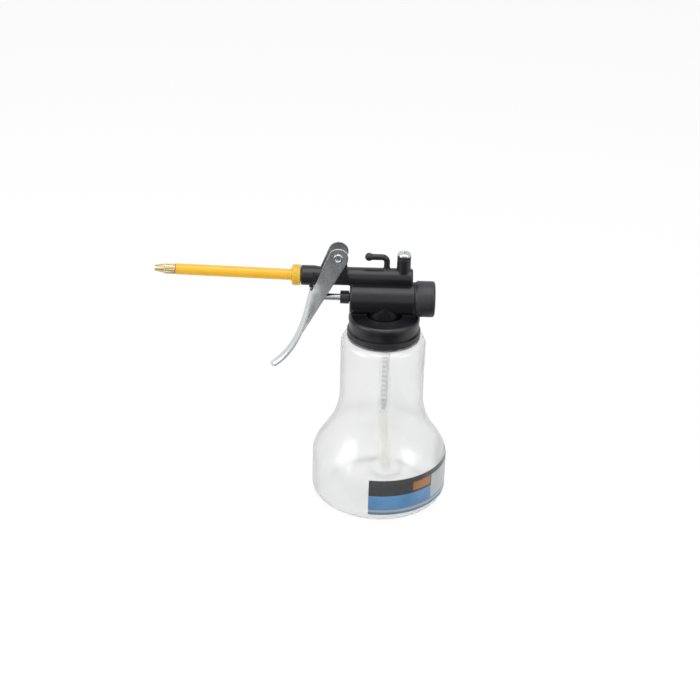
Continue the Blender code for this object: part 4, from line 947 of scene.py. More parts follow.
@dataclass
class Bottle:
    """The blow-moulded bottle with its neck thread and film label."""

    radius: float = 43.65 * MM
    wall: float = 0.90 * MM
    heel: float = 6.0 * MM
    ring_width: float = 4.6 * MM
    push_up: float = 2.0 * MM
    push_up_slope: float = 2.2 * MM
    body_top: float = 27.0 * MM
    shoulder_top: float = 70.0 * MM
    shoulder_radius: float = 26.8 * MM
    low_handle: float = 13.0 * MM
    high_handle: float = 26.0 * MM
    high_lean: float = 2.7 * MM
    chimney_radius: float = 27.0 * MM
    chimney_edge: float = 4.5 * MM
    chimney_top: float = 113.0 * MM
    ring_radius: float = 23.1 * MM
    ring_height: float = 1.1 * MM
    neck_radius: float = 18.6 * MM
    neck_wall: float = 1.4 * MM
    thread_height: float = 0.45 * MM
    thread_turns: float = 1.6
    thread_pitch: float = 2.9 * MM
    label_gap: float = 0.22 * MM
    label_thickness: float = 0.12 * MM
    label_start: float = -99.0
    label_end: float = 99.0
    print_end: float = 26.0

    def outline(self) -> Profile:
        """Return the outer (radius, height) outline from the push-up to the chimney's top edge."""
        heel_x = self.radius - self.heel
        inner = heel_x - self.ring_width
        outline = [(inner - self.push_up_slope, self.push_up), (inner - 0.6 * MM, 0.35 * MM)]
        outline += [(inner, 0.0)]
        outline += arc((heel_x, self.heel), self.heel, -90, 0, 10)
        top = (self.shoulder_radius, self.shoulder_top)
        lean = (self.shoulder_radius + self.high_lean, self.shoulder_top - self.high_handle)
        foot = (self.radius, self.body_top)
        outline += bezier([foot, (self.radius, self.body_top + self.low_handle), lean, top], 30)
        centre = (self.chimney_radius - self.chimney_edge, self.chimney_top - self.chimney_edge)
        return outline + arc(centre, self.chimney_edge, 0, 90, 8)

    def wall_at(self, level: float) -> float:
        """Return the outer wall's radius at a height on the body or shoulder."""
        outline = self.outline()[2:]
        for below, above in zip(outline, outline[1:]):
            if below[1] <= level <= above[1] and above[1] > below[1]:
                share = (level - below[1]) / (above[1] - below[1])
                return below[0] + (above[0] - below[0]) * share
        return self.radius

    def build_shell(self) -> bpy.types.Object:
        """Build the two-sided wall from the push-up to the rim of the neck."""
        outer = self.outline()
        inner = offset_inwards(outer, self.wall)
        ring_top = self.chimney_top + self.ring_height
        rim = node_box("bottle").high.z
        bore = self.neck_radius - self.neck_wall
        soft = 0.3 * MM
        neck = [
            (self.ring_radius - soft, self.chimney_top),
            (self.ring_radius, self.chimney_top + soft),
            (self.ring_radius, ring_top - soft),
            (self.ring_radius - soft, ring_top),
            (self.neck_radius, ring_top),
            (self.neck_radius, rim - soft),
            (self.neck_radius - soft, rim),
            (bore + soft, rim),
            (bore, rim - soft),
            (bore, inner[-1][1]),
        ]
        base = [(0.0, self.push_up + 0.6 * MM), (8 * MM, self.push_up + 0.45 * MM), (20 * MM, self.push_up + 0.1 * MM)]
        inside = [(radius, height + self.wall) for radius, height in base[::-1]]
        profile = base + outer + neck + inner[::-1] + inside
        return lathe("oil_bottle", profile, Turn.BROAD, at=(AXIS_X, 0, 0), angle=50)

    def build_thread(self) -> bpy.types.Object:
        """Build the neck's thread as a ridge that runs out at both ends."""
        bottom = self.chimney_top + self.ring_height + 1.3 * MM
        per_turn = 72
        count = int(self.thread_turns * per_turn)
        path = []
        shares = []
        for index in range(count + 1):
            angle = 2 * math.pi * index / per_turn
            height = bottom + self.thread_pitch * index / per_turn
            path.append(Vector((AXIS_X + self.neck_radius * math.cos(angle), self.neck_radius * math.sin(angle), height)))
            shares.append(max(min(index, count - index, 10) / 10, 0.12))
        return wire("neck_thread", path, self.thread_height, shares)

    def build_label(self) -> bpy.types.Object:
        """Build the label as a thin film that follows the wall."""
        box = node_box("label")
        columns, rows = 150, 12
        deselect_all()
        bpy.ops.mesh.primitive_grid_add(x_subdivisions=columns, y_subdivisions=rows, size=1)
        film = bpy.context.object
        film.name = film.data.name = "wrap_label"
        for vertex in film.data.vertices:
            across, up = vertex.co.x + 0.5, vertex.co.y + 0.5
            angle = math.radians(self.label_start + (self.label_end - self.label_start) * across)
            level = box.low.z + (box.high.z - box.low.z) * up
            reach = self.wall_at(level) + self.label_gap
            vertex.co = (AXIS_X + reach * math.cos(angle), reach * math.sin(angle), level)
        modify(film, "SOLIDIFY", thickness=self.label_thickness, offset=1.0)
        close_mesh(film)
        smooth(film, 40)
        return film

    def build(self) -> None:
        """Build and dress the bottle's pieces."""
        dress(self.build_shell(), CLEAR_BOTTLE, Body.BOTTLE, "bottle")
        dress(self.build_thread(), CLEAR_BOTTLE, Body.BOTTLE)
        film = dress(self.build_label(), LABEL, Body.BOTTLE, "label")
        film.data.materials.append(material_of(LABEL_BACK))
        film.data.materials.append(material_of(CLEAR_FILM))
        for face in film.data.polygons:
            across = face.center.x - AXIS_X
            outwards = face.normal.x * across + face.normal.y * face.center.y
            angle = math.degrees(math.atan2(face.center.y, across))
            face.material_index = 2 if angle > self.print_end else 0 if outwards > 0 else 1


@dataclass
class Collar:
    """The screw collar with its plain band, groove, waist and soft top edge."""

    band_radius: float = 23.25 * MM
    band_height: float = 3.8 * MM
    band_lines: int = 3
    line_depth: float = 0.13 * MM
    line_width: float = 0.22 * MM
    waist_radius: float = 22.2 * MM
    top_radius: float = 22.45 * MM
    top_round: float = 2.2 * MM
    top_drop: float = 0.55 * MM
    bore: float = 19.4 * MM
    hole: float = 11.0 * MM
    top_thickness: float = 1.5 * MM
    thread_depth: float = 0.3 * MM
    thread_turns: float = 2.2
    thread_pitch: float = 2.9 * MM

    def build(self) -> None:
        """Build and dress the collar and the thread inside it."""
        box = node_box("screw_collar")
        bottom, top = box.low.z, box.high.z - self.top_drop
        band_top = bottom + self.band_height
        profile = [(self.bore + 0.35 * MM, bottom), (self.band_radius - 0.5 * MM, bottom)]
        profile += [(self.band_radius - 0.12 * MM, bottom + 0.14 * MM), (self.band_radius, bottom + 0.5 * MM)]
        step = (self.band_height - 1.1 * MM) / (self.band_lines + 1)
        for index in range(1, self.band_lines + 1):
            level = bottom + 0.6 * MM + step * index
            profile += [(self.band_radius, level - self.line_width), (self.band_radius - self.line_depth, level)]
            profile += [(self.band_radius, level + self.line_width)]
        profile += [(self.band_radius, band_top - 0.45 * MM), (self.band_radius - 0.14 * MM, band_top - 0.12 * MM)]
        profile += [(self.band_radius - 0.5 * MM, band_top)]
        profile += [(self.waist_radius - 0.25 * MM, band_top + 0.35 * MM), (self.waist_radius - 0.3 * MM, band_top + 0.8 * MM)]
        profile += [(self.waist_radius, band_top + 1.2 * MM), (self.waist_radius, band_top + 5.6 * MM)]
        profile += [(self.top_radius - 0.03 * MM, band_top + 6.6 * MM)]
        centre = (self.top_radius - self.top_round, top - self.top_round)
        profile += arc(centre, self.top_round, 0, 90, 8)
        profile += [(self.hole + 0.4 * MM, top), (self.hole, top - 0.4 * MM), (self.hole, top - self.top_thickness)]
        profile += [(self.bore, top - self.top_thickness), (self.bore, bottom + 0.35 * MM)]
        collar = lathe("screw_ring", profile, Turn.BROAD, at=(AXIS_X, 0, 0))
        dress(collar, BLACK, Body.COLLAR, "screw_collar")

        per_turn = 72
        count = int(self.thread_turns * per_turn)
        path = []
        shares = []
        for index in range(count + 1):
            angle = 2 * math.pi * index / per_turn + 2.0
            height = bottom + 1.6 * MM + self.thread_pitch * index / per_turn
            path.append(Vector((AXIS_X + self.bore * math.cos(angle), self.bore * math.sin(angle), height)))
            shares.append(max(min(index, count - index, 10) / 10, 0.15))
        dress(wire("collar_thread", path, self.thread_depth, shares), BLACK, Body.COLLAR)


@dataclass
class PumpHead:
    """The moulded head with its rear cap, rod gland and outlet valve screw."""

    pump_radius: float = 10.5 * MM
    edge: float = 1.3 * MM
    bore: float = 8.0 * MM
    front_wall: float = 3.6 * MM
    front_x: float = -22.1 * MM
    rear_x: float = 18.2 * MM
    spigot_radius: float = 9.0 * MM
    spigot_length: float = 7.8 * MM
    cap_radius: float = 11.3 * MM
    cap_step: float = 19.0 * MM
    neck_radius: float = 10.2 * MM
    flange_radius: float = 18.8 * MM
    flange_thickness: float = 2.5 * MM
    pump_z: float = 139.6 * MM
    barrel_z: float = 154.1 * MM
    barrel_radius: float = 5.75 * MM
    barrel_rear_x: float = 16.85 * MM
    barrel_round: float = 1.3 * MM
    socket_x: float = -52.7 * MM
    socket_radius: float = 6.25 * MM
    socket_length: float = 8.3 * MM
    socket_taper: float = 3.4 * MM
    socket_bore: float = 4.3 * MM
    socket_depth: float = 7.1 * MM
    web_half: float = 5.0 * MM
    pivot_x: float = -29.7 * MM
    pivot_z: float = 168.5 * MM
    lug_radius: float = 5.6 * MM
    lug_half: float = 4.7 * MM
    lug_front_x: float = -35.0 * MM
    lug_rear_x: float = -24.0 * MM
    fork_front_x: float = -45.2 * MM
    fork_rear_x: float = -23.0 * MM
    nub_x: float = -46.2 * MM
    nub_radius: float = 1.4 * MM
    nub_bottom: float = 145.7 * MM
    post_x: float = 10.9 * MM
    post_radius: float = 4.3 * MM
    post_top: float = 167.8 * MM
    hook_x: float = 0.45 * MM
    hook_radius: float = 1.9 * MM
    hook_z: float = 167.6 * MM
    hook_bend: float = 3.0 * MM
    hook_tip_x: float = -10.7 * MM
    hook_ball: float = 2.6 * MM
    pin_hole: float = 2.15 * MM
    stem_x: float = 1.9 * MM
    stem_hole: float = 3.15 * MM
    voxel: float = 0.34 * MM

    def at(self, x: float, z: float = 0.0) -> Triple:
        """Return a place in the can's middle plane from the bottle's axis."""
        return (AXIS_X + x, 0.0, z)

    def build_cylinder(self) -> bpy.types.Object:
        """Build the pump cylinder with its rear spigot."""
        profile = [(0.0, self.front_x)]
        front = (self.pump_radius - self.edge, self.front_x + self.edge)
        profile += arc(front, self.edge, -90, 0, 6)
        profile += [(self.pump_radius, self.rear_x), (self.spigot_radius, self.rear_x)]
        spigot_end = self.rear_x + self.spigot_length
        profile += [(self.spigot_radius, spigot_end), (0.0, spigot_end)]
        return lathe("cylinder_form", profile, Turn.MEDIUM, Axis.X, self.at(0, self.pump_z))

    def build_barrel(self) -> bpy.types.Object:
        """Build the barrel and its wider nozzle socket."""
        start = self.socket_x
        step = start + self.socket_length
        profile = [(0.0, start), (self.socket_radius - 0.5 * MM, start), (self.socket_radius, start + 0.5 * MM)]
        profile += [(self.socket_radius, step), (self.barrel_radius, step + self.socket_taper)]
        rear = (self.barrel_radius - self.barrel_round, self.barrel_rear_x - self.barrel_round)
        profile += arc(rear, self.barrel_round, 0, 90, 6) + [(0.0, self.barrel_rear_x)]
        return lathe("barrel_form", profile, Turn.MEDIUM, Axis.X, self.at(0, self.barrel_z))

    def build_lug(self) -> bpy.types.Object:
        """Build the flat lug that carries the lever's pivot."""
        pivot = Vector((AXIS_X + self.pivot_x, self.pivot_z))
        front_foot = Vector((AXIS_X + self.lug_front_x, self.barrel_z))
        rear_foot = Vector((AXIS_X + self.lug_rear_x, self.barrel_z))
        front = tangent_point(pivot, self.lug_radius, front_foot, -1) - pivot
        rear = tangent_point(pivot, self.lug_radius, rear_foot, 1) - pivot
        start = math.degrees(math.atan2(rear.y, rear.x))
        end = math.degrees(math.atan2(front.y, front.x)) % 360
        outline = [tuple(front_foot), tuple(rear_foot)] + arc(tuple(pivot), self.lug_radius, start, end, 30)
        return plate("lug_form", outline, self.lug_half + 0.2 * MM)

    def build_neck(self) -> bpy.types.Object:
        """Build the neck under the cylinder with its flange."""
        bottom = node_box("pump_body").low.z
        flange_top = bottom + self.flange_thickness
        profile = [(0.0, bottom), (self.flange_radius, bottom), (self.flange_radius, flange_top)]
        profile += [(self.neck_radius, flange_top), (self.neck_radius, self.pump_z - 2 * MM), (0.0, self.pump_z - 2 * MM)]
        return lathe("neck_form", profile, Turn.MEDIUM, at=self.at(0))

    def build_hook(self) -> list[bpy.types.Object]:
        """Build the hook on the barrel and the ball at its tip."""
        root = self.barrel_z + self.barrel_radius - 1.2 * MM
        bend = arc((self.hook_x - self.hook_bend, self.hook_z - self.hook_bend), self.hook_bend, 0, 90, 12)
        points = [(self.hook_x, root), (self.hook_x, root + 1.6 * MM), (self.hook_x, root + 2.6 * MM)]
        points += bend + [(self.hook_tip_x, self.hook_z)]
        path = [Vector(self.at(x, z)) for x, z in points]
        shares = [1.7, 1.15] + [1.0] * (len(path) - 2)
        arm = wire("hook_form", path, self.hook_radius, shares, Turn.SMALL)
        deselect_all()
        bpy.ops.mesh.primitive_uv_sphere_add(
            segments=32, ring_count=16, radius=self.hook_ball, location=self.at(self.hook_tip_x, self.hook_z)
        )
        ball = bpy.context.object
        settle_place(ball)
        return [arm, ball]

    def build_details(self) -> list[bpy.types.Object]:
        """Build the web, the stop nub and the outlet post."""
        low = self.at(self.front_x + self.edge, self.pump_z + 0.6 * self.pump_radius)
        high = self.at(self.barrel_rear_x - self.barrel_round, self.barrel_z)
        web = block(
            "web_form", (low[0], -self.web_half, low[2]), (high[0], self.web_half, high[2])
        )
        under = self.barrel_z - self.socket_radius + 1.2 * MM
        nub = [(0.0, self.nub_bottom), (self.nub_radius - 0.4 * MM, self.nub_bottom)]
        nub += [(self.nub_radius, self.nub_bottom + 0.4 * MM), (self.nub_radius, under), (0.0, under)]
        post = [(0.0, self.barrel_z), (self.post_radius + 0.15 * MM, self.barrel_z)]
        post += [(self.post_radius, self.post_top - 0.3 * MM), (self.post_radius - 0.3 * MM, self.post_top)]
        post += [(0.0, self.post_top)]
        return [
            web,
            lathe("nub_form", nub, Turn.SMALL, at=self.at(self.nub_x)),
            lathe("post_form", post, Turn.SMALL, at=self.at(self.post_x)),
        ]

    def cut_passages(self, head: bpy.types.Object) -> None:
        """Open the bores and passages in the moulded head."""
        past = 2 * MM
        spigot_end = self.rear_x + self.spigot_length
        bore_front = self.front_x + self.front_wall
        pump = [(0.0, bore_front), (self.bore, bore_front), (self.bore, spigot_end + past), (0.0, spigot_end + past)]
        cut(head, lathe("pump_bore", pump, Turn.MEDIUM, Axis.X, self.at(0, self.pump_z)))
        gland = [(0.0, self.front_x - past), (3.2 * MM, self.front_x - past)]
        gland += [(3.2 * MM, bore_front + past), (0.0, bore_front + past)]
        cut(head, lathe("gland_bore", gland, Turn.SMALL, Axis.X, self.at(0, self.pump_z)))
        socket_end = self.socket_x + self.socket_depth
        socket = [(0.0, self.socket_x - past), (self.socket_bore, self.socket_x - past)]
        socket += [(self.socket_bore, socket_end), (1.8 * MM, socket_end), (1.8 * MM, self.post_x)]
        socket += [(0.0, self.post_x)]
        cut(head, lathe("socket_bore", socket, Turn.SMALL, Axis.X, self.at(0, self.barrel_z)))
        seat = self.barrel_z - 2.1 * MM
        screw_bottom = self.post_top - 6.3 * MM
        outlet = [(0.0, self.pump_z + 6 * MM), (1.2 * MM, self.pump_z + 6 * MM), (1.2 * MM, seat), (2.6 * MM, seat)]
        outlet += [(2.6 * MM, screw_bottom), (2.3 * MM, screw_bottom), (2.3 * MM, self.post_top + past)]
        outlet += [(0.0, self.post_top + past)]
        cut(head, lathe("outlet_bore", outlet, Turn.SMALL, at=self.at(self.post_x)))
        bottom = node_box("pump_body").low.z
        stem = [(0.0, bottom - past), (self.stem_hole, bottom - past), (self.stem_hole, bottom + 4.1 * MM)]
        stem += [(2.0 * MM, bottom + 4.1 * MM), (2.0 * MM, self.pump_z - 6 * MM), (0.0, self.pump_z - 6 * MM)]
        cut(head, lathe("stem_bore", stem, Turn.SMALL, at=self.at(self.stem_x)))
        for side in (-1, 1):
            near, far = sorted((side * self.lug_half, side * (self.lug_half + 4 * MM)))
            low = (AXIS_X + self.fork_front_x, near, self.barrel_z - self.barrel_radius - past)
            high = (AXIS_X + self.fork_rear_x, far, self.pivot_z + self.lug_radius + past)
            cut(head, block("fork_flat", low, high))
        pivot = [(0.0, -9 * MM), (self.pin_hole, -9 * MM), (self.pin_hole, 9 * MM), (0.0, 9 * MM)]
        cut(head, lathe("pivot_bore", pivot, Turn.SMALL, Axis.Y, self.at(self.pivot_x, self.pivot_z)))

    def build_moulding(self) -> bpy.types.Object:
        """Build the one-piece moulding, its junctions softened as in a mould."""
        forms = [self.build_cylinder(), self.build_barrel(), self.build_lug(), self.build_neck()]
        forms += self.build_hook() + self.build_details()
        head = join(forms, "pump_moulding")
        modify(head, "REMESH", mode="VOXEL", voxel_size=self.voxel, use_smooth_shade=True)
        modify(head, "SMOOTH", factor=0.5, iterations=9)
        ratio = min(1.0, 84000 / len(head.data.polygons))
        if ratio < 1.0:
            modify(head, "DECIMATE", ratio=ratio)
        self.cut_passages(head)
        smooth(head, 40)
        return head

    def build_cap(self) -> bpy.types.Object:
        """Build the cap on the cylinder's rear spigot."""
        box = node_box("cylinder_end_cap")
        front, rear = box.low.x - AXIS_X, box.high.x - AXIS_X
        bore = self.spigot_radius + 0.3 * MM
        wall = rear - 2.5 * MM
        skirt, outer, step = self.pump_radius, self.cap_radius, self.cap_step
        profile = [(bore + 0.2 * MM, front), (skirt - 0.25 * MM, front), (skirt, front + 0.25 * MM)]
        profile += [(skirt, step - 0.7 * MM), (skirt - 0.4 * MM, step - 0.5 * MM), (skirt - 0.4 * MM, step)]
        profile += [(outer - 0.7 * MM, step), (outer, step + 1.2 * MM)]
        profile += arc((outer - 1.7 * MM, rear - 1.7 * MM), 1.7 * MM, 0, 90, 8)
        profile += [(6.4 * MM, rear), (6.1 * MM, rear - 0.35 * MM), (0.0, rear - 0.35 * MM)]
        inside = [(0.0, wall), (bore, wall), (bore, front + 0.2 * MM)]
        solid = profile + inside
        return lathe("rear_cap", solid, Turn.BROAD, Axis.X, self.at(0, self.pump_z))

    def build_gland(self) -> bpy.types.Object:
        """Build the guide of the rod in front of the cylinder."""
        box = node_box("rod_gland")
        front, rear = box.low.x - AXIS_X, box.high.x - AXIS_X
        face = self.front_x - 0.3 * MM
        profile = [(2.45 * MM, rear), (2.45 * MM, front + 2.0 * MM), (3.45 * MM, front + 2.0 * MM)]
        profile += [(3.45 * MM, front + 0.2 * MM), (3.65 * MM, front), (3.85 * MM, front)]
        profile += arc((3.75 * MM, front + 0.4 * MM), 0.4 * MM, -90, 0, 4)
        profile += [(4.15 * MM, face), (2.95 * MM, face), (2.95 * MM, rear)]
        return lathe("rod_guide", profile, Turn.SMALL, Axis.X, self.at(0, self.pump_z))

    def build_screw(self) -> bpy.types.Object:
        """Build the pan-head screw with a tapered cross recess."""
        seat = self.post_top + 1.1 * MM
        profile = [(0.0, -6.0 * MM), (1.7 * MM, -6.0 * MM), (2.0 * MM, -5.6 * MM), (2.0 * MM, 0.0)]
        profile += [(4.0 * MM, 0.0), (4.2 * MM, 0.2 * MM)]
        profile += arc((2.65 * MM, 0.65 * MM), 1.55 * MM, 0, 82, 9)
        profile += [(1.4 * MM, 2.27 * MM), (0.0, 2.3 * MM)]
        screw = lathe("valve_screw", profile, Turn.SMALL, at=self.at(self.post_x, seat))
        for index in range(2):
            slot = block("cross_slot", (-2.1 * MM, -0.48 * MM, 0.95 * MM), (2.1 * MM, 0.48 * MM, 3.2 * MM))
            for vertex in slot.data.vertices:
                if vertex.co.z < 2 * MM:
                    vertex.co.x *= 0.55
                    vertex.co.y *= 0.7
            settle(slot, self.at(self.post_x, seat), (0, 0, math.radians(24 + 90 * index)))
            cut(screw, slot)
        modify(screw, "BEVEL", width=0.09 * MM, segments=2, limit_method="ANGLE", angle_limit=0.7)
        smooth(screw, 40)
        return screw

    def build_washer(self) -> bpy.types.Object:
        """Build the sealing washer under the screw's head."""
        low = self.post_top + 0.3 * MM
        high = low + 0.5 * MM
        outer = self.post_radius
        profile = [(2.15 * MM, low), (outer - 0.1 * MM, low), (outer, low + 0.12 * MM), (outer, high - 0.12 * MM)]
        profile += [(outer - 0.1 * MM, high), (2.15 * MM, high)]
        return lathe("screw_washer", profile, Turn.SMALL, at=self.at(self.post_x))

    def build(self) -> None:
        """Build and dress the head's pieces."""
        dress(self.build_moulding(), BLACK, Body.HEAD, "pump_body")
        dress(self.build_cap(), CAP_BLACK, Body.HEAD, "cylinder_end_cap")
        dress(self.build_gland(), BLACK, Body.HEAD, "rod_gland")
        dress(self.build_screw(), STEEL, Body.HEAD, "outlet_screw")
        dress(self.build_washer(), RUBBER, Body.HEAD, "outlet_seal")
        for name in ("neck_gasket", "end_cap_seal", "rod_seal"):
            dress_node(name, RUBBER)
        for name in ("return_spring", "outlet_spring", "outlet_ball"):
            dress_node(name, STEEL)


def settle_place(thing: bpy.types.Object) -> None:
    """Put a new object's place into its mesh and leave it at the origin."""
    activate(thing)
    bpy.ops.object.transform_apply(location=True, rotation=True, scale=True)


@dataclass
class SqueezeLever:
    """The folded sheet lever with its pivot rivet."""

    sheet: float = 1.2 * MM
    half_width: float = 6.2 * MM
    ear_radius: float = 6.2 * MM
    web_distance: float = 11.79 * MM
    web_slope: float = math.radians(12.5)
    web_top: float = 145.4 * MM
    straight_end: float = 131.4 * MM
    rear_slope: float = math.radians(28.6)
    fold_depth: float = 7.6 * MM
    fold_width: float = 4.3 * MM
    fold_growth: float = 0.4 * MM
    ear_folds: int = 5
    flank_start: float = 0.8
    tip_x: float = -71.8 * MM
    tip_z: float = 91.9 * MM
    tip_slope: float = math.radians(56.0)
    curve_lead: float = 15.5 * MM
    tip_depth: float = 2.9 * MM
    taper_top: float = 125.0 * MM
    tip_half_width: float = 3.6 * MM
    pivot_x: float = -29.7 * MM
    pivot_z: float = 168.5 * MM
    side_columns: int = 8
    fold_columns: int = 8
    web_columns: int = 4
    ear_rows: int = 26
    pin_radius: float = 2.0 * MM

    def web_point(self, level: float) -> Vector:
        """Return the point of the web's outer face at a height, from the pivot."""
        down = Vector((-math.sin(self.web_slope), -math.cos(self.web_slope)))
        foot = Vector((-math.cos(self.web_slope), math.sin(self.web_slope))) * self.web_distance
        return foot + down * ((foot.y - (level - self.pivot_z)) / math.cos(self.web_slope))

    def front_line(self) -> list[Vector]:
        """Return the web's outer face line from its top to the grip's tip, from the pivot."""
        down = Vector((-math.sin(self.web_slope), -math.cos(self.web_slope)))
        tip = Vector((self.tip_x - self.pivot_x, self.tip_z - self.pivot_z))
        tip_down = Vector((-math.sin(self.tip_slope), -math.cos(self.tip_slope)))
        top, end = self.web_point(self.web_top), self.web_point(self.straight_end)
        line = [top.lerp(end, share / 12) for share in range(12)]
        corners = [tuple(end), tuple(end + down * self.curve_lead), tuple(tip - tip_down * self.curve_lead), tuple(tip)]
        return line + [Vector(point) for point in bezier(corners, 60)]

    def rear_touch(self) -> Vector:
        """Return where the straight rear edge leaves the ears' round end, from the pivot."""
        return Vector((math.cos(self.rear_slope), -math.sin(self.rear_slope))) * self.ear_radius

    def stations(self) -> list[tuple[Vector, Vector, float]]:
        """Return the front point, rear point and half width of each cross section."""
        rear_down = Vector((-math.sin(self.rear_slope), -math.cos(self.rear_slope)))
        line = self.front_line()
        stations = []
        last = math.inf
        for index, point in enumerate(line):
            ahead = line[min(index + 1, len(line) - 1)] - line[max(index - 1, 0)]
            inward = Vector((-ahead.y, ahead.x)).normalized()
            across = self.rear_touch() - point
            rate = inward.x * rear_down.y - inward.y * rear_down.x
            depth = (across.x * rear_down.y - across.y * rear_down.x) / rate
            last = max(min(depth, last), self.tip_depth)
            level = point.y + self.pivot_z
            taper = min(max((self.taper_top - level) / (self.taper_top - self.tip_z), 0.0), 1.0)
            half = self.half_width + (self.tip_half_width - self.half_width) * taper
            rounding = min((point - line[-1]).length / self.tip_half_width, 1.0)
            half *= math.sqrt(max(1.0 - (1.0 - rounding) ** 2, 0.12))
            stations.append((point, point + inward * last, half))
        return stations

    def section(self, front: Vector, rear: Vector, half: float) -> list[tuple[float, Vector]]:
        """Return one side of a cross section.

        Args:
            front: The web's outer point.
            rear: The rear edge's point.
            half: The section's half width.

        Returns:
            (Y, point) pairs from the rear edge to the web's middle.
        """
        depth = (rear - front).length
        inward = (rear - front).normalized()
        growth = max(0.0, 1.0 - depth / self.web_distance)
        fold_depth = min(self.fold_depth + self.fold_growth * growth, depth * 0.92)
        fold_width = min(self.fold_width, half * 0.85)
        fold_width += (half * 0.85 - fold_width) * growth
        side = []
        corner = front + inward * fold_depth
        for step in range(self.side_columns):
            side.append((half, rear.lerp(corner, step / self.side_columns)))
        for step in range(self.fold_columns + 1):
            angle = math.pi / 2 * step / self.fold_columns
            y = half - fold_width + fold_width * math.cos(angle)
            side.append((y, front + inward * fold_depth * (1 - math.sin(angle))))
        flat = half - fold_width
        for step in range(1, self.web_columns + 1):
            side.append((flat * (1 - step / self.web_columns), front))
        return side

    def ear_section(self, step: int, corner: Vector, rear: Vector) -> tuple[Vector, Vector]:
        """Return the front and rear points of an ear's row, from its round top down.

        Args:
            step: The row's number from the top.
            corner: Where the ear's front edge meets the web's fold.
            rear: Where the ear's rear edge meets the web's first row.

        Returns:
            The row's front and rear points.
        """
        touch = tangent_point(Vector((0.0, 0.0)), self.ear_radius, corner, -1)
        rear_touch = self.rear_touch()
        rear_angle = math.atan2(rear_touch.y, rear_touch.x)
        front_angle = math.atan2(touch.y, touch.x) % (2 * math.pi)
        crown = (rear_angle + front_angle) / 2
        round_rows = 16
        if step < round_rows:
            first = 0.05
            share = math.sin(math.pi / 2 * step / (round_rows - 1)) if step else 0.0
            spread = first + (crown - rear_angle - first) * share
            front = Vector((math.cos(crown + spread), math.sin(crown + spread))) * self.ear_radius
            back = Vector((math.cos(crown - spread), math.sin(crown - spread))) * self.ear_radius
            return front, back
        share = (step - round_rows + 1) / (self.ear_rows - round_rows + 1)
        return touch.lerp(corner, share), rear_touch.lerp(rear, share)

    def ear_line_points(
        self, row: int, front: Vector, rear: Vector, flank: list[tuple[float, float]], count: int
    ) -> list[tuple[float, Vector]]:
        """Return one ear's row, flat above and taking the fold's curve towards the web.

        Args:
            row: The row's number from the top.
            front: The row's front point.
            rear: The row's rear point.
            flank: (Y, share of the way forward) of the web's first row, up to the ear's front edge.
            count: How many points the half row has.

        Returns:
            (Y, point) pairs from the rear edge on.
        """
        round_rows = 16
        down = max(row - round_rows + 1, 0) / (self.ear_rows - round_rows + 1)
        share = min(max((down - self.flank_start) / (1 - self.flank_start), 0.0), 1.0)
        share = share * share * (3 - 2 * share)
        last = len(flank) - 1
        points = []
        for index in range(count):
            y, along = flank[min(index, last)]
            even = min(index / last, 1.0)
            points.append((self.half_width + (y - self.half_width) * share, rear.lerp(front, even + (along - even) * share)))
        return points

    def build_sheet(self) -> bpy.types.Object:
        """Build the lever from a flat grid that is folded row by row and given its thickness."""
        stations = self.stations()
        half_count = self.side_columns + self.fold_columns + self.web_columns + 1
        columns = 2 * half_count - 1
        rows = self.ear_rows + len(stations)
        deselect_all()
        bpy.ops.mesh.primitive_grid_add(x_subdivisions=columns - 1, y_subdivisions=rows - 1, size=1)
        lever = bpy.context.object
        lever.name = lever.data.name = "folded_lever"
        first = self.section(*stations[0])
        ear_line = self.side_columns + self.ear_folds
        corner = first[ear_line][1]
        reach = (corner - stations[0][1]).length
        flank = [(y, (point - stations[0][1]).length / reach) for y, point in first[: ear_line + 1]]
        grid = lever.data.vertices
        doomed = []
        for row in range(rows):
            if row < self.ear_rows:
                front, rear = self.ear_section(row, corner, stations[0][1])
                near = self.ear_line_points(row, front, rear, flank, half_count)
            else:
                near = self.section(*stations[row - self.ear_rows])
            line = [(-y, point) for y, point in near] + [(y, point) for y, point in near[-2::-1]]
            for column, (y, point) in enumerate(line):
                index = row * columns + column
                grid[index].co = (AXIS_X + self.pivot_x + point.x, y, self.pivot_z + point.y)
                if row < self.ear_rows and ear_line < column < columns - 1 - ear_line:
                    doomed.append(index)
        for vertex in grid:
            vertex.select = False
        for index in doomed:
            grid[index].select = True
        for edge in lever.data.edges:
            edge.select = False
        for face in lever.data.polygons:
            face.select = False
        bpy.ops.object.mode_set(mode="EDIT")
        bpy.ops.mesh.select_mode(type="VERT")
        bpy.ops.mesh.delete(type="VERT")
        bpy.ops.mesh.select_all(action="SELECT")
        bpy.ops.mesh.normals_make_consistent(inside=False)
        bpy.ops.object.mode_set(mode="OBJECT")
        web_face = max(lever.data.polygons, key=lambda face: face.center.z if abs(face.center.y) < MM else -1)
        if web_face.normal.x > 0:
            bpy.ops.object.mode_set(mode="EDIT")
            bpy.ops.mesh.select_all(action="SELECT")
            bpy.ops.mesh.flip_normals()
            bpy.ops.object.mode_set(mode="OBJECT")
        modify(lever, "SOLIDIFY", thickness=self.sheet, offset=-1.0, use_even_offset=True)
        modify(lever, "BEVEL", width=0.22 * MM, segments=3, limit_method="ANGLE", angle_limit=math.radians(50))
        reach = self.half_width + 2 * MM
        hole = [(0.0, -reach), (2.15 * MM, -reach), (2.15 * MM, reach), (0.0, reach)]
        place = (AXIS_X + self.pivot_x, 0.0, self.pivot_z)
        cut(lever, lathe("lever_bore", hole, Turn.SMALL, Axis.Y, place))
        smooth(lever, 32)
        return lever

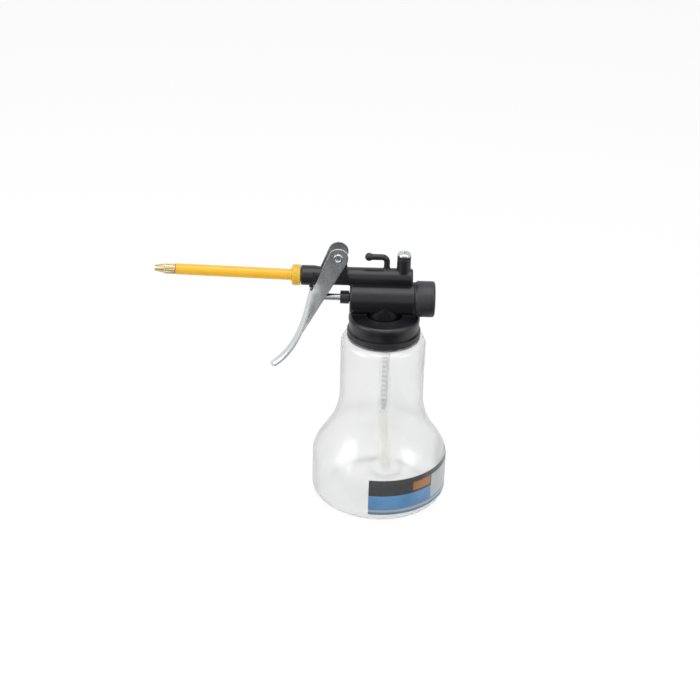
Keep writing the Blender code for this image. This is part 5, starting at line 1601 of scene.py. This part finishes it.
    def build_rivet(self) -> bpy.types.Object:
        """Build the hollow rivet with its rolled heads."""
        seat = self.half_width + 0.15 * MM
        end = seat + 0.8 * MM
        head = [(self.pin_radius, seat), (2.7 * MM, seat)]
        head += arc((2.45 * MM, seat + 0.42 * MM), 0.42 * MM, -60, 60, 6)
        head += arc((1.95 * MM, end - 0.32 * MM), 0.32 * MM, 60, 150, 5)
        head += [(1.3 * MM, end - 0.55 * MM), (1.15 * MM, end - 1.5 * MM), (0.0, end - 1.5 * MM)]
        profile = head + [(radius, -height) for radius, height in head[::-1]]
        place = (AXIS_X + self.pivot_x, 0.0, self.pivot_z)
        return lathe("pivot_rivet", profile, Turn.SMALL, Axis.Y, place)

    def build(self) -> None:
        """Build and dress the lever's pieces."""
        dress(self.build_sheet(), ZINC, Body.LEVER, "lever")
        dress(self.build_rivet(), STEEL, Body.LEVER, "lever_pin")


@dataclass
class Plunger:
    """The rod that the lever pushes, with the piston inside the cylinder."""

    radius: float = 2.2 * MM
    pump_z: float = 139.6 * MM

    def build(self) -> None:
        """Build and dress the plunger's pieces."""
        box = node_box("piston_rod")
        start, end = box.low.x - AXIS_X, box.high.x - AXIS_X
        profile = arc((0.0, start + self.radius), self.radius, -90, -2, 10)
        profile[0] = (0.0, start)
        profile += [(self.radius, end - 0.3 * MM), (self.radius - 0.3 * MM, end), (0.0, end)]
        rod = lathe("push_rod", profile, Turn.SMALL, Axis.X, (AXIS_X, 0, self.pump_z))
        dress(rod, DRAWN_STEEL, Body.PLUNGER, "piston_rod")
        dress_node("piston", PALE)
        dress_node("piston_seal", RUBBER)


@dataclass
class Nozzle:
    """The nut, the tube and the fluted tip that turn in the barrel's socket."""

    barrel_z: float = 154.1 * MM
    socket_x: float = -52.7 * MM
    nut_radius: float = 6.5 * MM
    nut_length: float = 5.3 * MM
    nut_round: float = 1.4 * MM
    spigot_radius: float = 4.0 * MM
    spigot_length: float = 5.8 * MM
    passage: float = 1.8 * MM
    tube_radius: float = 3.43 * MM
    tube_bore: float = 2.43 * MM
    bead: float = 0.5 * MM
    rise: float = math.radians(1.5)
    root_x: float = -55.4 * MM
    tube_end_x: float = -130.1 * MM
    tip_end_x: float = -143.28 * MM
    tip_radius: float = 3.3 * MM
    fluted_length: float = 6.9 * MM
    flute_depth: float = 0.28 * MM
    cone_radius: float = 2.9 * MM
    mouth_radius: float = 1.75 * MM
    flutes: int = 16

    @property
    def root(self) -> Triple:
        """Return where the tilted tube's own zero stands."""
        return (AXIS_X + self.root_x, 0.0, self.barrel_z)

    def build_nut(self) -> bpy.types.Object:
        """Build the nut with a rounded front, a shallow groove and its spigot."""
        rear = -0.3 * MM
        front = rear - self.nut_length
        pocket = front + 6.0 * MM
        hole = self.tube_radius + 0.3 * MM
        profile = [(self.passage, pocket), (hole, pocket), (hole, front + 0.25 * MM), (hole + 0.25 * MM, front)]
        profile += arc((self.nut_radius - self.nut_round, front + self.nut_round), self.nut_round, -90, 0, 7)
        groove = rear - 1.5 * MM
        profile += [(self.nut_radius, groove - 0.25 * MM), (self.nut_radius - 0.15 * MM, groove)]
        profile += [(self.nut_radius, groove + 0.25 * MM), (self.nut_radius, rear - 0.3 * MM)]
        profile += [(self.nut_radius - 0.3 * MM, rear), (self.spigot_radius, rear)]
        profile += [(self.spigot_radius, self.spigot_length - 0.3 * MM), (self.spigot_radius - 0.3 * MM, self.spigot_length)]
        profile += [(self.passage, self.spigot_length)]
        place = (AXIS_X + self.socket_x, 0.0, self.barrel_z)
        return lathe("tube_nut", profile, Turn.MEDIUM, Axis.X, place)

    def build_tube(self) -> bpy.types.Object:
        """Build the long tube, very slightly tilted upwards."""
        near = self.socket_x - 0.3 * MM - self.nut_length + 6.0 * MM - 0.3 * MM - self.root_x
        far = (self.tube_end_x - self.root_x) / math.cos(self.rise)
        outer, bore = self.tube_radius, self.tube_bore
        profile = [(bore, far), (outer - 0.15 * MM, far), (outer, far + 0.15 * MM)]
        mouth = (self.socket_x - 0.4 * MM - self.nut_length - self.root_x) / math.cos(self.rise)
        bead = [(outer, mouth - 0.8 * MM), (outer + self.bead, mouth - 0.55 * MM), (outer + self.bead, mouth)]
        profile += [(outer, far + (mouth - MM - far) * share / 8) for share in range(1, 8)]
        profile += bead + [(outer, mouth)]
        profile += [(outer, near), (bore, near)]
        return lathe("spout_tube", profile, Turn.MEDIUM, Axis.X, self.root, tilt=self.rise)

    def build_tip(self) -> bpy.types.Object:
        """Build the fluted tip with its blunt cone and mouth."""
        end = (self.tip_end_x - self.root_x) / math.cos(self.rise)
        shoulder = (self.tube_end_x - self.root_x) / math.cos(self.rise) - 0.15 * MM
        fluted_end = shoulder - self.fluted_length
        spigot = self.tube_bore - 0.3 * MM
        hole = 0.7 * MM
        profile = [(hole, shoulder + 5 * MM), (spigot, shoulder + 5 * MM), (spigot, shoulder)]
        profile += [(self.tip_radius - 0.35 * MM, shoulder), (self.tip_radius, shoulder - 0.35 * MM)]
        profile += [(self.tip_radius, shoulder - 1.2 * MM), (self.tip_radius, fluted_end + 0.4 * MM)]
        profile += [(self.cone_radius, fluted_end - 0.1 * MM)]
        profile += [(self.cone_radius - 0.1 * MM, fluted_end - 0.6 * MM)]
        profile += [(self.mouth_radius + 0.12 * MM, end + 0.5 * MM), (self.mouth_radius - 0.15 * MM, end)]
        profile += [(hole + 0.25 * MM, end), (hole, end + 0.3 * MM)]
        tip = lathe("spray_tip", profile, Turn.MEDIUM, Axis.X)
        step = Turn.MEDIUM.value // self.flutes
        for vertex in tip.data.vertices:
            reach = math.hypot(vertex.co.y, vertex.co.z)
            in_flutes = fluted_end + 0.2 * MM < vertex.co.x < shoulder - 1.0 * MM
            side = round(math.degrees(math.atan2(vertex.co.z, vertex.co.y)) % 360 / (360 / Turn.MEDIUM.value))
            vertex.select = in_flutes and reach > self.tip_radius - 0.1 * MM and side % step in (0, 1, 2)
        for edge in tip.data.edges:
            edge.select = False
        for face in tip.data.polygons:
            face.select = False
        activate(tip)
        bpy.ops.object.mode_set(mode="EDIT")
        bpy.ops.mesh.select_mode(type="VERT")
        share = 1 - self.flute_depth / self.tip_radius
        bpy.ops.transform.resize(value=(1, share, share), center_override=(0, 0, 0))
        bpy.ops.object.mode_set(mode="OBJECT")
        settle(tip, self.root, (0, self.rise, 0))
        smooth(tip, 25)
        return tip

    def build(self) -> None:
        """Build and dress the nozzle's pieces."""
        dress(self.build_nut(), YELLOW, Body.NOZZLE, "nozzle_nut")
        dress(self.build_tube(), ORANGE, Body.NOZZLE, "nozzle_tube")
        dress(self.build_tip(), BRASS, Body.NOZZLE, "nozzle_tip")
        dress_node("nozzle_seal", RUBBER)


@dataclass
class Suction:
    """The stem with the inlet valve, the dip tube and its foot, all seen through the bottle."""

    stem_x: float = 1.9 * MM
    outer: float = 3.0 * MM
    bore: float = 2.4 * MM
    upper_bore: float = 1.7 * MM
    shoulder_z: float = 110.3 * MM
    end_z: float = 58.0 * MM
    spigot: float = 2.15 * MM
    spigot_length: float = 7.0 * MM
    spigot_shown: float = 0.8 * MM
    seat_z: float = 60.4 * MM
    seat_radius: float = 1.3 * MM
    spring_wire: float = 0.5 * MM
    spring_turns: int = 15
    foot_x: float = 4.4 * MM
    foot_radius: float = 10.75 * MM
    foot_thickness: float = 3.2 * MM
    foot_spigot: float = 6.5 * MM
    notches: int = 4

    def build_stem(self) -> bpy.types.Object:
        """Build the stem with the valve seat at its lower end."""
        top = node_box("suction_stem").high.z
        low = self.end_z - self.spigot_shown
        profile = [(self.upper_bore, top), (self.outer - 0.2 * MM, top), (self.outer, top - 0.2 * MM)]
        profile += [(self.outer, self.end_z + 0.2 * MM), (self.outer - 0.2 * MM, self.end_z)]
        wide = self.spigot - 0.4 * MM
        under = self.seat_z - 1.5 * MM
        profile += [(self.spigot, self.end_z), (self.spigot, low), (wide, low), (wide, under - 0.4 * MM)]
        profile += [(self.seat_radius, under), (self.seat_radius, self.seat_z), (self.bore, self.seat_z + 1.1 * MM)]
        profile += [(self.bore, self.shoulder_z), (self.upper_bore, self.shoulder_z)]
        return lathe("valve_stem", profile, Turn.SMALL, at=(AXIS_X + self.stem_x, 0, 0))

    def build_tube(self) -> bpy.types.Object:
        """Build the dip tube, bent gently towards its foot."""
        box = node_box("dip_tube")
        top, bottom = box.high.z, box.low.z
        bend_start = top - self.spigot_length - MM
        bend_end = bottom + self.foot_spigot + 0.7 * MM
        lead = (bend_start - bend_end) / 3
        corners = [(self.stem_x, bend_start), (self.stem_x, bend_start - lead)]
        corners += [(self.foot_x, bend_end + lead), (self.foot_x, bend_end)]
        levels = [top, top - 0.3 * MM] + [point[1] for point in bezier(corners, 20)] + [bottom + 0.3 * MM, bottom]
        centres = [self.stem_x] * 2 + [point[0] for point in bezier(corners, 20)] + [self.foot_x] * 2
        profile = [(self.outer, level) for level in levels] + [(self.bore, level) for level in levels[::-1]]
        tube = lathe("suction_tube", profile, Turn.SMALL)
        shifts = dict(zip((round(level, 7) for level in levels), centres))
        known = sorted(shifts)
        for vertex in tube.data.vertices:
            nearest = min(known, key=lambda level: abs(level - vertex.co.z))
            vertex.co.x += AXIS_X + shifts[nearest]
        return tube

    def build_spring(self) -> bpy.types.Object:
        """Build the valve spring that is seen through the stem."""
        box = node_box("inlet_spring")
        length = box.high.z - box.low.z
        path = coil_path(1.85 * MM, self.spring_wire, length, self.spring_turns, 24)
        place = Vector((AXIS_X + self.stem_x, 0.0, box.low.z))
        return wire("valve_spring", [point + place for point in path], self.spring_wire / 2)

    def build_ball(self) -> bpy.types.Object:
        """Build the inlet valve's ball."""
        box = node_box("inlet_ball")
        radius = (box.high.z - box.low.z) / 2
        profile = arc((0.0, 0.0), radius, -90, 90, 24)
        profile[0], profile[-1] = (0.0, -radius), (0.0, radius)
        return lathe("valve_ball", profile, Turn.SMALL, at=tuple(box.middle))

    def build_foot(self) -> bpy.types.Object:
        """Build the notched foot with its spigot."""
        bottom = node_box("suction_foot").low.z
        top = bottom + self.foot_thickness
        lip = bottom + 1.5 * MM
        spigot_top = top + self.spigot_shown
        profile = [(self.seat_radius, lip), (self.foot_radius - 1.4 * MM, lip), (self.foot_radius - 1.4 * MM, bottom)]
        profile += [(self.foot_radius - 0.2 * MM, bottom), (self.foot_radius, bottom + 0.2 * MM)]
        profile += arc((self.foot_radius - 0.7 * MM, top - 0.7 * MM), 0.7 * MM, 0, 90, 5)
        profile += [(self.spigot + 0.5 * MM, top), (self.spigot, top + 0.28 * MM)]
        profile += [(self.spigot, spigot_top - 0.4 * MM), (self.spigot - 0.3 * MM, spigot_top)]
        profile += [(self.seat_radius, spigot_top)]
        foot = lathe("tube_foot", profile, Turn.MEDIUM, at=(AXIS_X + self.foot_x, 0, 0))
        reach = self.foot_radius + 2 * MM
        for index in range(self.notches // 2):
            slot = block("foot_slot", (-reach, -1.5 * MM, bottom - MM), (reach, 1.5 * MM, bottom + 1.2 * MM))
            turn = math.pi / 4 + math.pi * index / (self.notches // 2)
            settle(slot, (AXIS_X + self.foot_x, 0, 0), (0, 0, turn))
            cut(foot, slot)
        smooth(foot, 35)
        return foot

    def build(self) -> None:
        """Build and dress the suction side."""
        dress(self.build_stem(), CLEAR_STEM, Body.HEAD, "suction_stem")
        dress(self.build_tube(), CLEAR_TUBE, Body.HEAD, "dip_tube")
        dress(self.build_spring(), SPRING_STEEL, Body.HEAD, "inlet_spring")
        dress(self.build_foot(), CLEAR_FOOT, Body.HEAD, "suction_foot")
        dress(self.build_ball(), STEEL, Body.INLET, "inlet_ball")


@dataclass(frozen=True)
class Lamp:
    """One soft area lamp that looks at the can."""

    name: str
    place: Triple
    size: float
    watts: float


@dataclass
class Studio:
    """The camera, the floor and the soft lamps round the can."""

    lens: float = 80.85
    elevation: float = 28.24
    azimuth: float = -0.22
    roll: float = 1.59
    distance: float = 1.0
    target: Triple = (-20.93 * MM, 0.0, 102.1 * MM)
    ambient: float = 0.42
    cards: tuple[tuple[float, float, float, float], ...] = (
        (-1.2, 1.2, -1.9, -0.29),
        (-0.026, 0.16, -0.285, -0.05),
        (-0.16, -0.026, -0.165, -0.05),
        (-0.0395, -0.026, -0.285, -0.165),
    )
    floor_size: float = 12.0
    lamps: tuple[Lamp, ...] = field(
        default=(
            Lamp("top_softbox", (0.05, -0.2, 1.35), 1.1, 8.5),
            Lamp("left_softbox", (-1.15, -0.55, 0.75), 0.8, 6.0),
            Lamp("right_softbox", (1.2, -0.7, 0.9), 0.6, 3.5),
        )
    )

    def place_camera(self) -> None:
        """Put the camera where the photograph was taken from."""
        tilt, swing, lean = (math.radians(v) for v in (self.elevation, self.azimuth, self.roll))
        back = Vector((math.sin(swing) * math.cos(tilt), -math.cos(swing) * math.cos(tilt), math.sin(tilt)))
        level_right = Vector((math.cos(swing), math.sin(swing), 0.0))
        level_up = back.cross(level_right)
        right = level_right * math.cos(lean) + level_up * math.sin(lean)
        up = level_up * math.cos(lean) - level_right * math.sin(lean)
        aim = Vector(self.target) + Vector((AXIS_X, 0, 0))
        data = bpy.data.cameras.new("view_camera")
        data.lens = self.lens
        data.sensor_width = 36.0
        data.clip_start = 0.01
        camera = bpy.data.objects.new("view_camera", data)
        bpy.context.scene.collection.objects.link(camera)
        basis = Matrix((right, up, back)).transposed().to_4x4()
        camera.matrix_world = Matrix.Translation(aim + back * self.distance) @ basis
        bpy.context.scene.camera = camera

    def seen_directly(self, graph: Graph, mirrored: float) -> bpy.types.NodeSocket:
        """Return how far a ray shows the background itself.

        Args:
            graph: The graph that the rays are asked in.
            mirrored: The share that reflections show.

        Returns:
            1 in the camera and through glass, the given share in reflections and 0 elsewhere.
        """
        rays = graph.add("LightPath").outputs
        shown = graph.math("MAXIMUM", rays["Is Camera Ray"], rays["Is Transmission Ray"])
        return graph.math("MAXIMUM", shown, graph.math("MULTIPLY", rays["Is Glossy Ray"], mirrored))

    def light_world(self) -> None:
        """Give the world a plain ambient level and a white look."""
        world = bpy.data.worlds.new("studio_world")
        world.use_nodes = True
        bpy.context.scene.world = world
        graph = Graph(world.node_tree)
        background = world.node_tree.nodes["Background"]
        strength = graph.spread(self.seen_directly(graph, 0.8), 0.0, 1.0, self.ambient, 1.0)
        background.inputs["Color"].default_value = (1.0, 1.0, 1.0, 1.0)
        graph.feed(background.inputs["Strength"], strength)

    def lay_floor(self) -> None:
        """Lay the pale floor, which keeps a faint shadow."""
        deselect_all()
        bpy.ops.mesh.primitive_plane_add(size=self.floor_size)
        floor = bpy.context.object
        floor.name = "studio_floor"
        floor.location.z = -0.05 * MM
        material = bpy.data.materials.new("studio_paper")
        material.use_nodes = True
        graph = Graph(material.node_tree)
        nodes = material.node_tree.nodes
        shader = nodes["Principled BSDF"]
        shader.inputs["Roughness"].default_value = 0.9
        place = graph.add("TexCoord").outputs["Object"]
        paper = graph.spread(graph.noise(place, 900.0, 2.0), 0.3, 0.7, 0.0, 1.0)
        graph.feed(shader.inputs["Base Color"], graph.mix(paper, (0.86, 0.86, 0.86), (0.9, 0.9, 0.9)))
        rays = graph.add("LightPath").outputs
        mirrored = graph.math("SUBTRACT", rays["Is Glossy Ray"], rays["Is Transmission Ray"])
        strength = graph.spread(mirrored, 0.0, 1.0, 1.06, 0.85)
        glow = graph.add("Emission", {"Color": (1.0, 1.0, 1.0), "Strength": strength})
        share = graph.spread(self.seen_directly(graph, 0.8), 0.0, 1.0, 0.0, 0.8)
        mixed = graph.add("MixShader", {0: share})
        graph.tree.links.new(shader.outputs[0], mixed.inputs[1])
        graph.tree.links.new(glow.outputs[0], mixed.inputs[2])
        graph.tree.links.new(mixed.outputs[0], nodes["Material Output"].inputs["Surface"])
        floor.data.materials.append(material)

    def hang_lamps(self) -> None:
        """Hang the soft lamps, each aimed at the middle of the can."""
        aim = Vector((AXIS_X - 20 * MM, 0.0, 90 * MM))
        for lamp in self.lamps:
            data = bpy.data.lights.new(lamp.name, "AREA")
            data.shape = "SQUARE"
            data.size = lamp.size
            data.energy = lamp.watts
            thing = bpy.data.objects.new(lamp.name, data)
            thing.location = lamp.place
            thing.rotation_euler = (aim - Vector(lamp.place)).to_track_quat("-Z", "Y").to_euler()
            bpy.context.scene.collection.objects.link(thing)

    def lay_cards(self) -> None:
        """Lay dark cards on the floor in front, which only show as reflections in shiny pieces."""
        deselect_all()
        flags = []
        for low_x, high_x, low_y, high_y in self.cards:
            middle = (AXIS_X + (low_x + high_x) / 2, (low_y + high_y) / 2, 2 * MM)
            bpy.ops.mesh.primitive_plane_add(size=1.0, location=middle)
            bpy.context.object.scale = (high_x - low_x, high_y - low_y, 1.0)
            settle_place(bpy.context.object)
            flags.append(bpy.context.object)
        flag = join(flags, "dark_card")
        material = bpy.data.materials.new("dark_card")
        material.use_nodes = True
        shader = material.node_tree.nodes["Principled BSDF"]
        graph = Graph(material.node_tree)
        place = graph.add("TexCoord").outputs["Object"]
        felt = graph.spread(graph.noise(place, 60.0, 3.0), 0.3, 0.7, 0.0, 1.0)
        graph.feed(shader.inputs["Base Color"], graph.mix(felt, (0.03, 0.032, 0.035), (0.05, 0.052, 0.055)))
        shader.inputs["Roughness"].default_value = 0.9
        flag.data.materials.append(material)
        flag.visible_camera = False
        flag.visible_diffuse = False
        flag.visible_transmission = False
        flag.visible_shadow = False

    def build(self) -> None:
        """Set up the whole studio."""
        bpy.context.scene.view_settings.view_transform = "Standard"
        self.place_camera()
        self.light_world()
        self.lay_floor()
        self.hang_lamps()
        self.lay_cards()


def main() -> None:
    """Build every sub-assembly in order and report it."""
    logging.basicConfig(level=logging.INFO, format="%(name)s: %(message)s")
    for part in (Bottle(), Collar(), PumpHead(), SqueezeLever(), Plunger(), Nozzle(), Suction()):
        LOG.info("building %s", type(part).__name__)
        part.build()
    Studio().build()


if __name__ == "__main__":
    main()
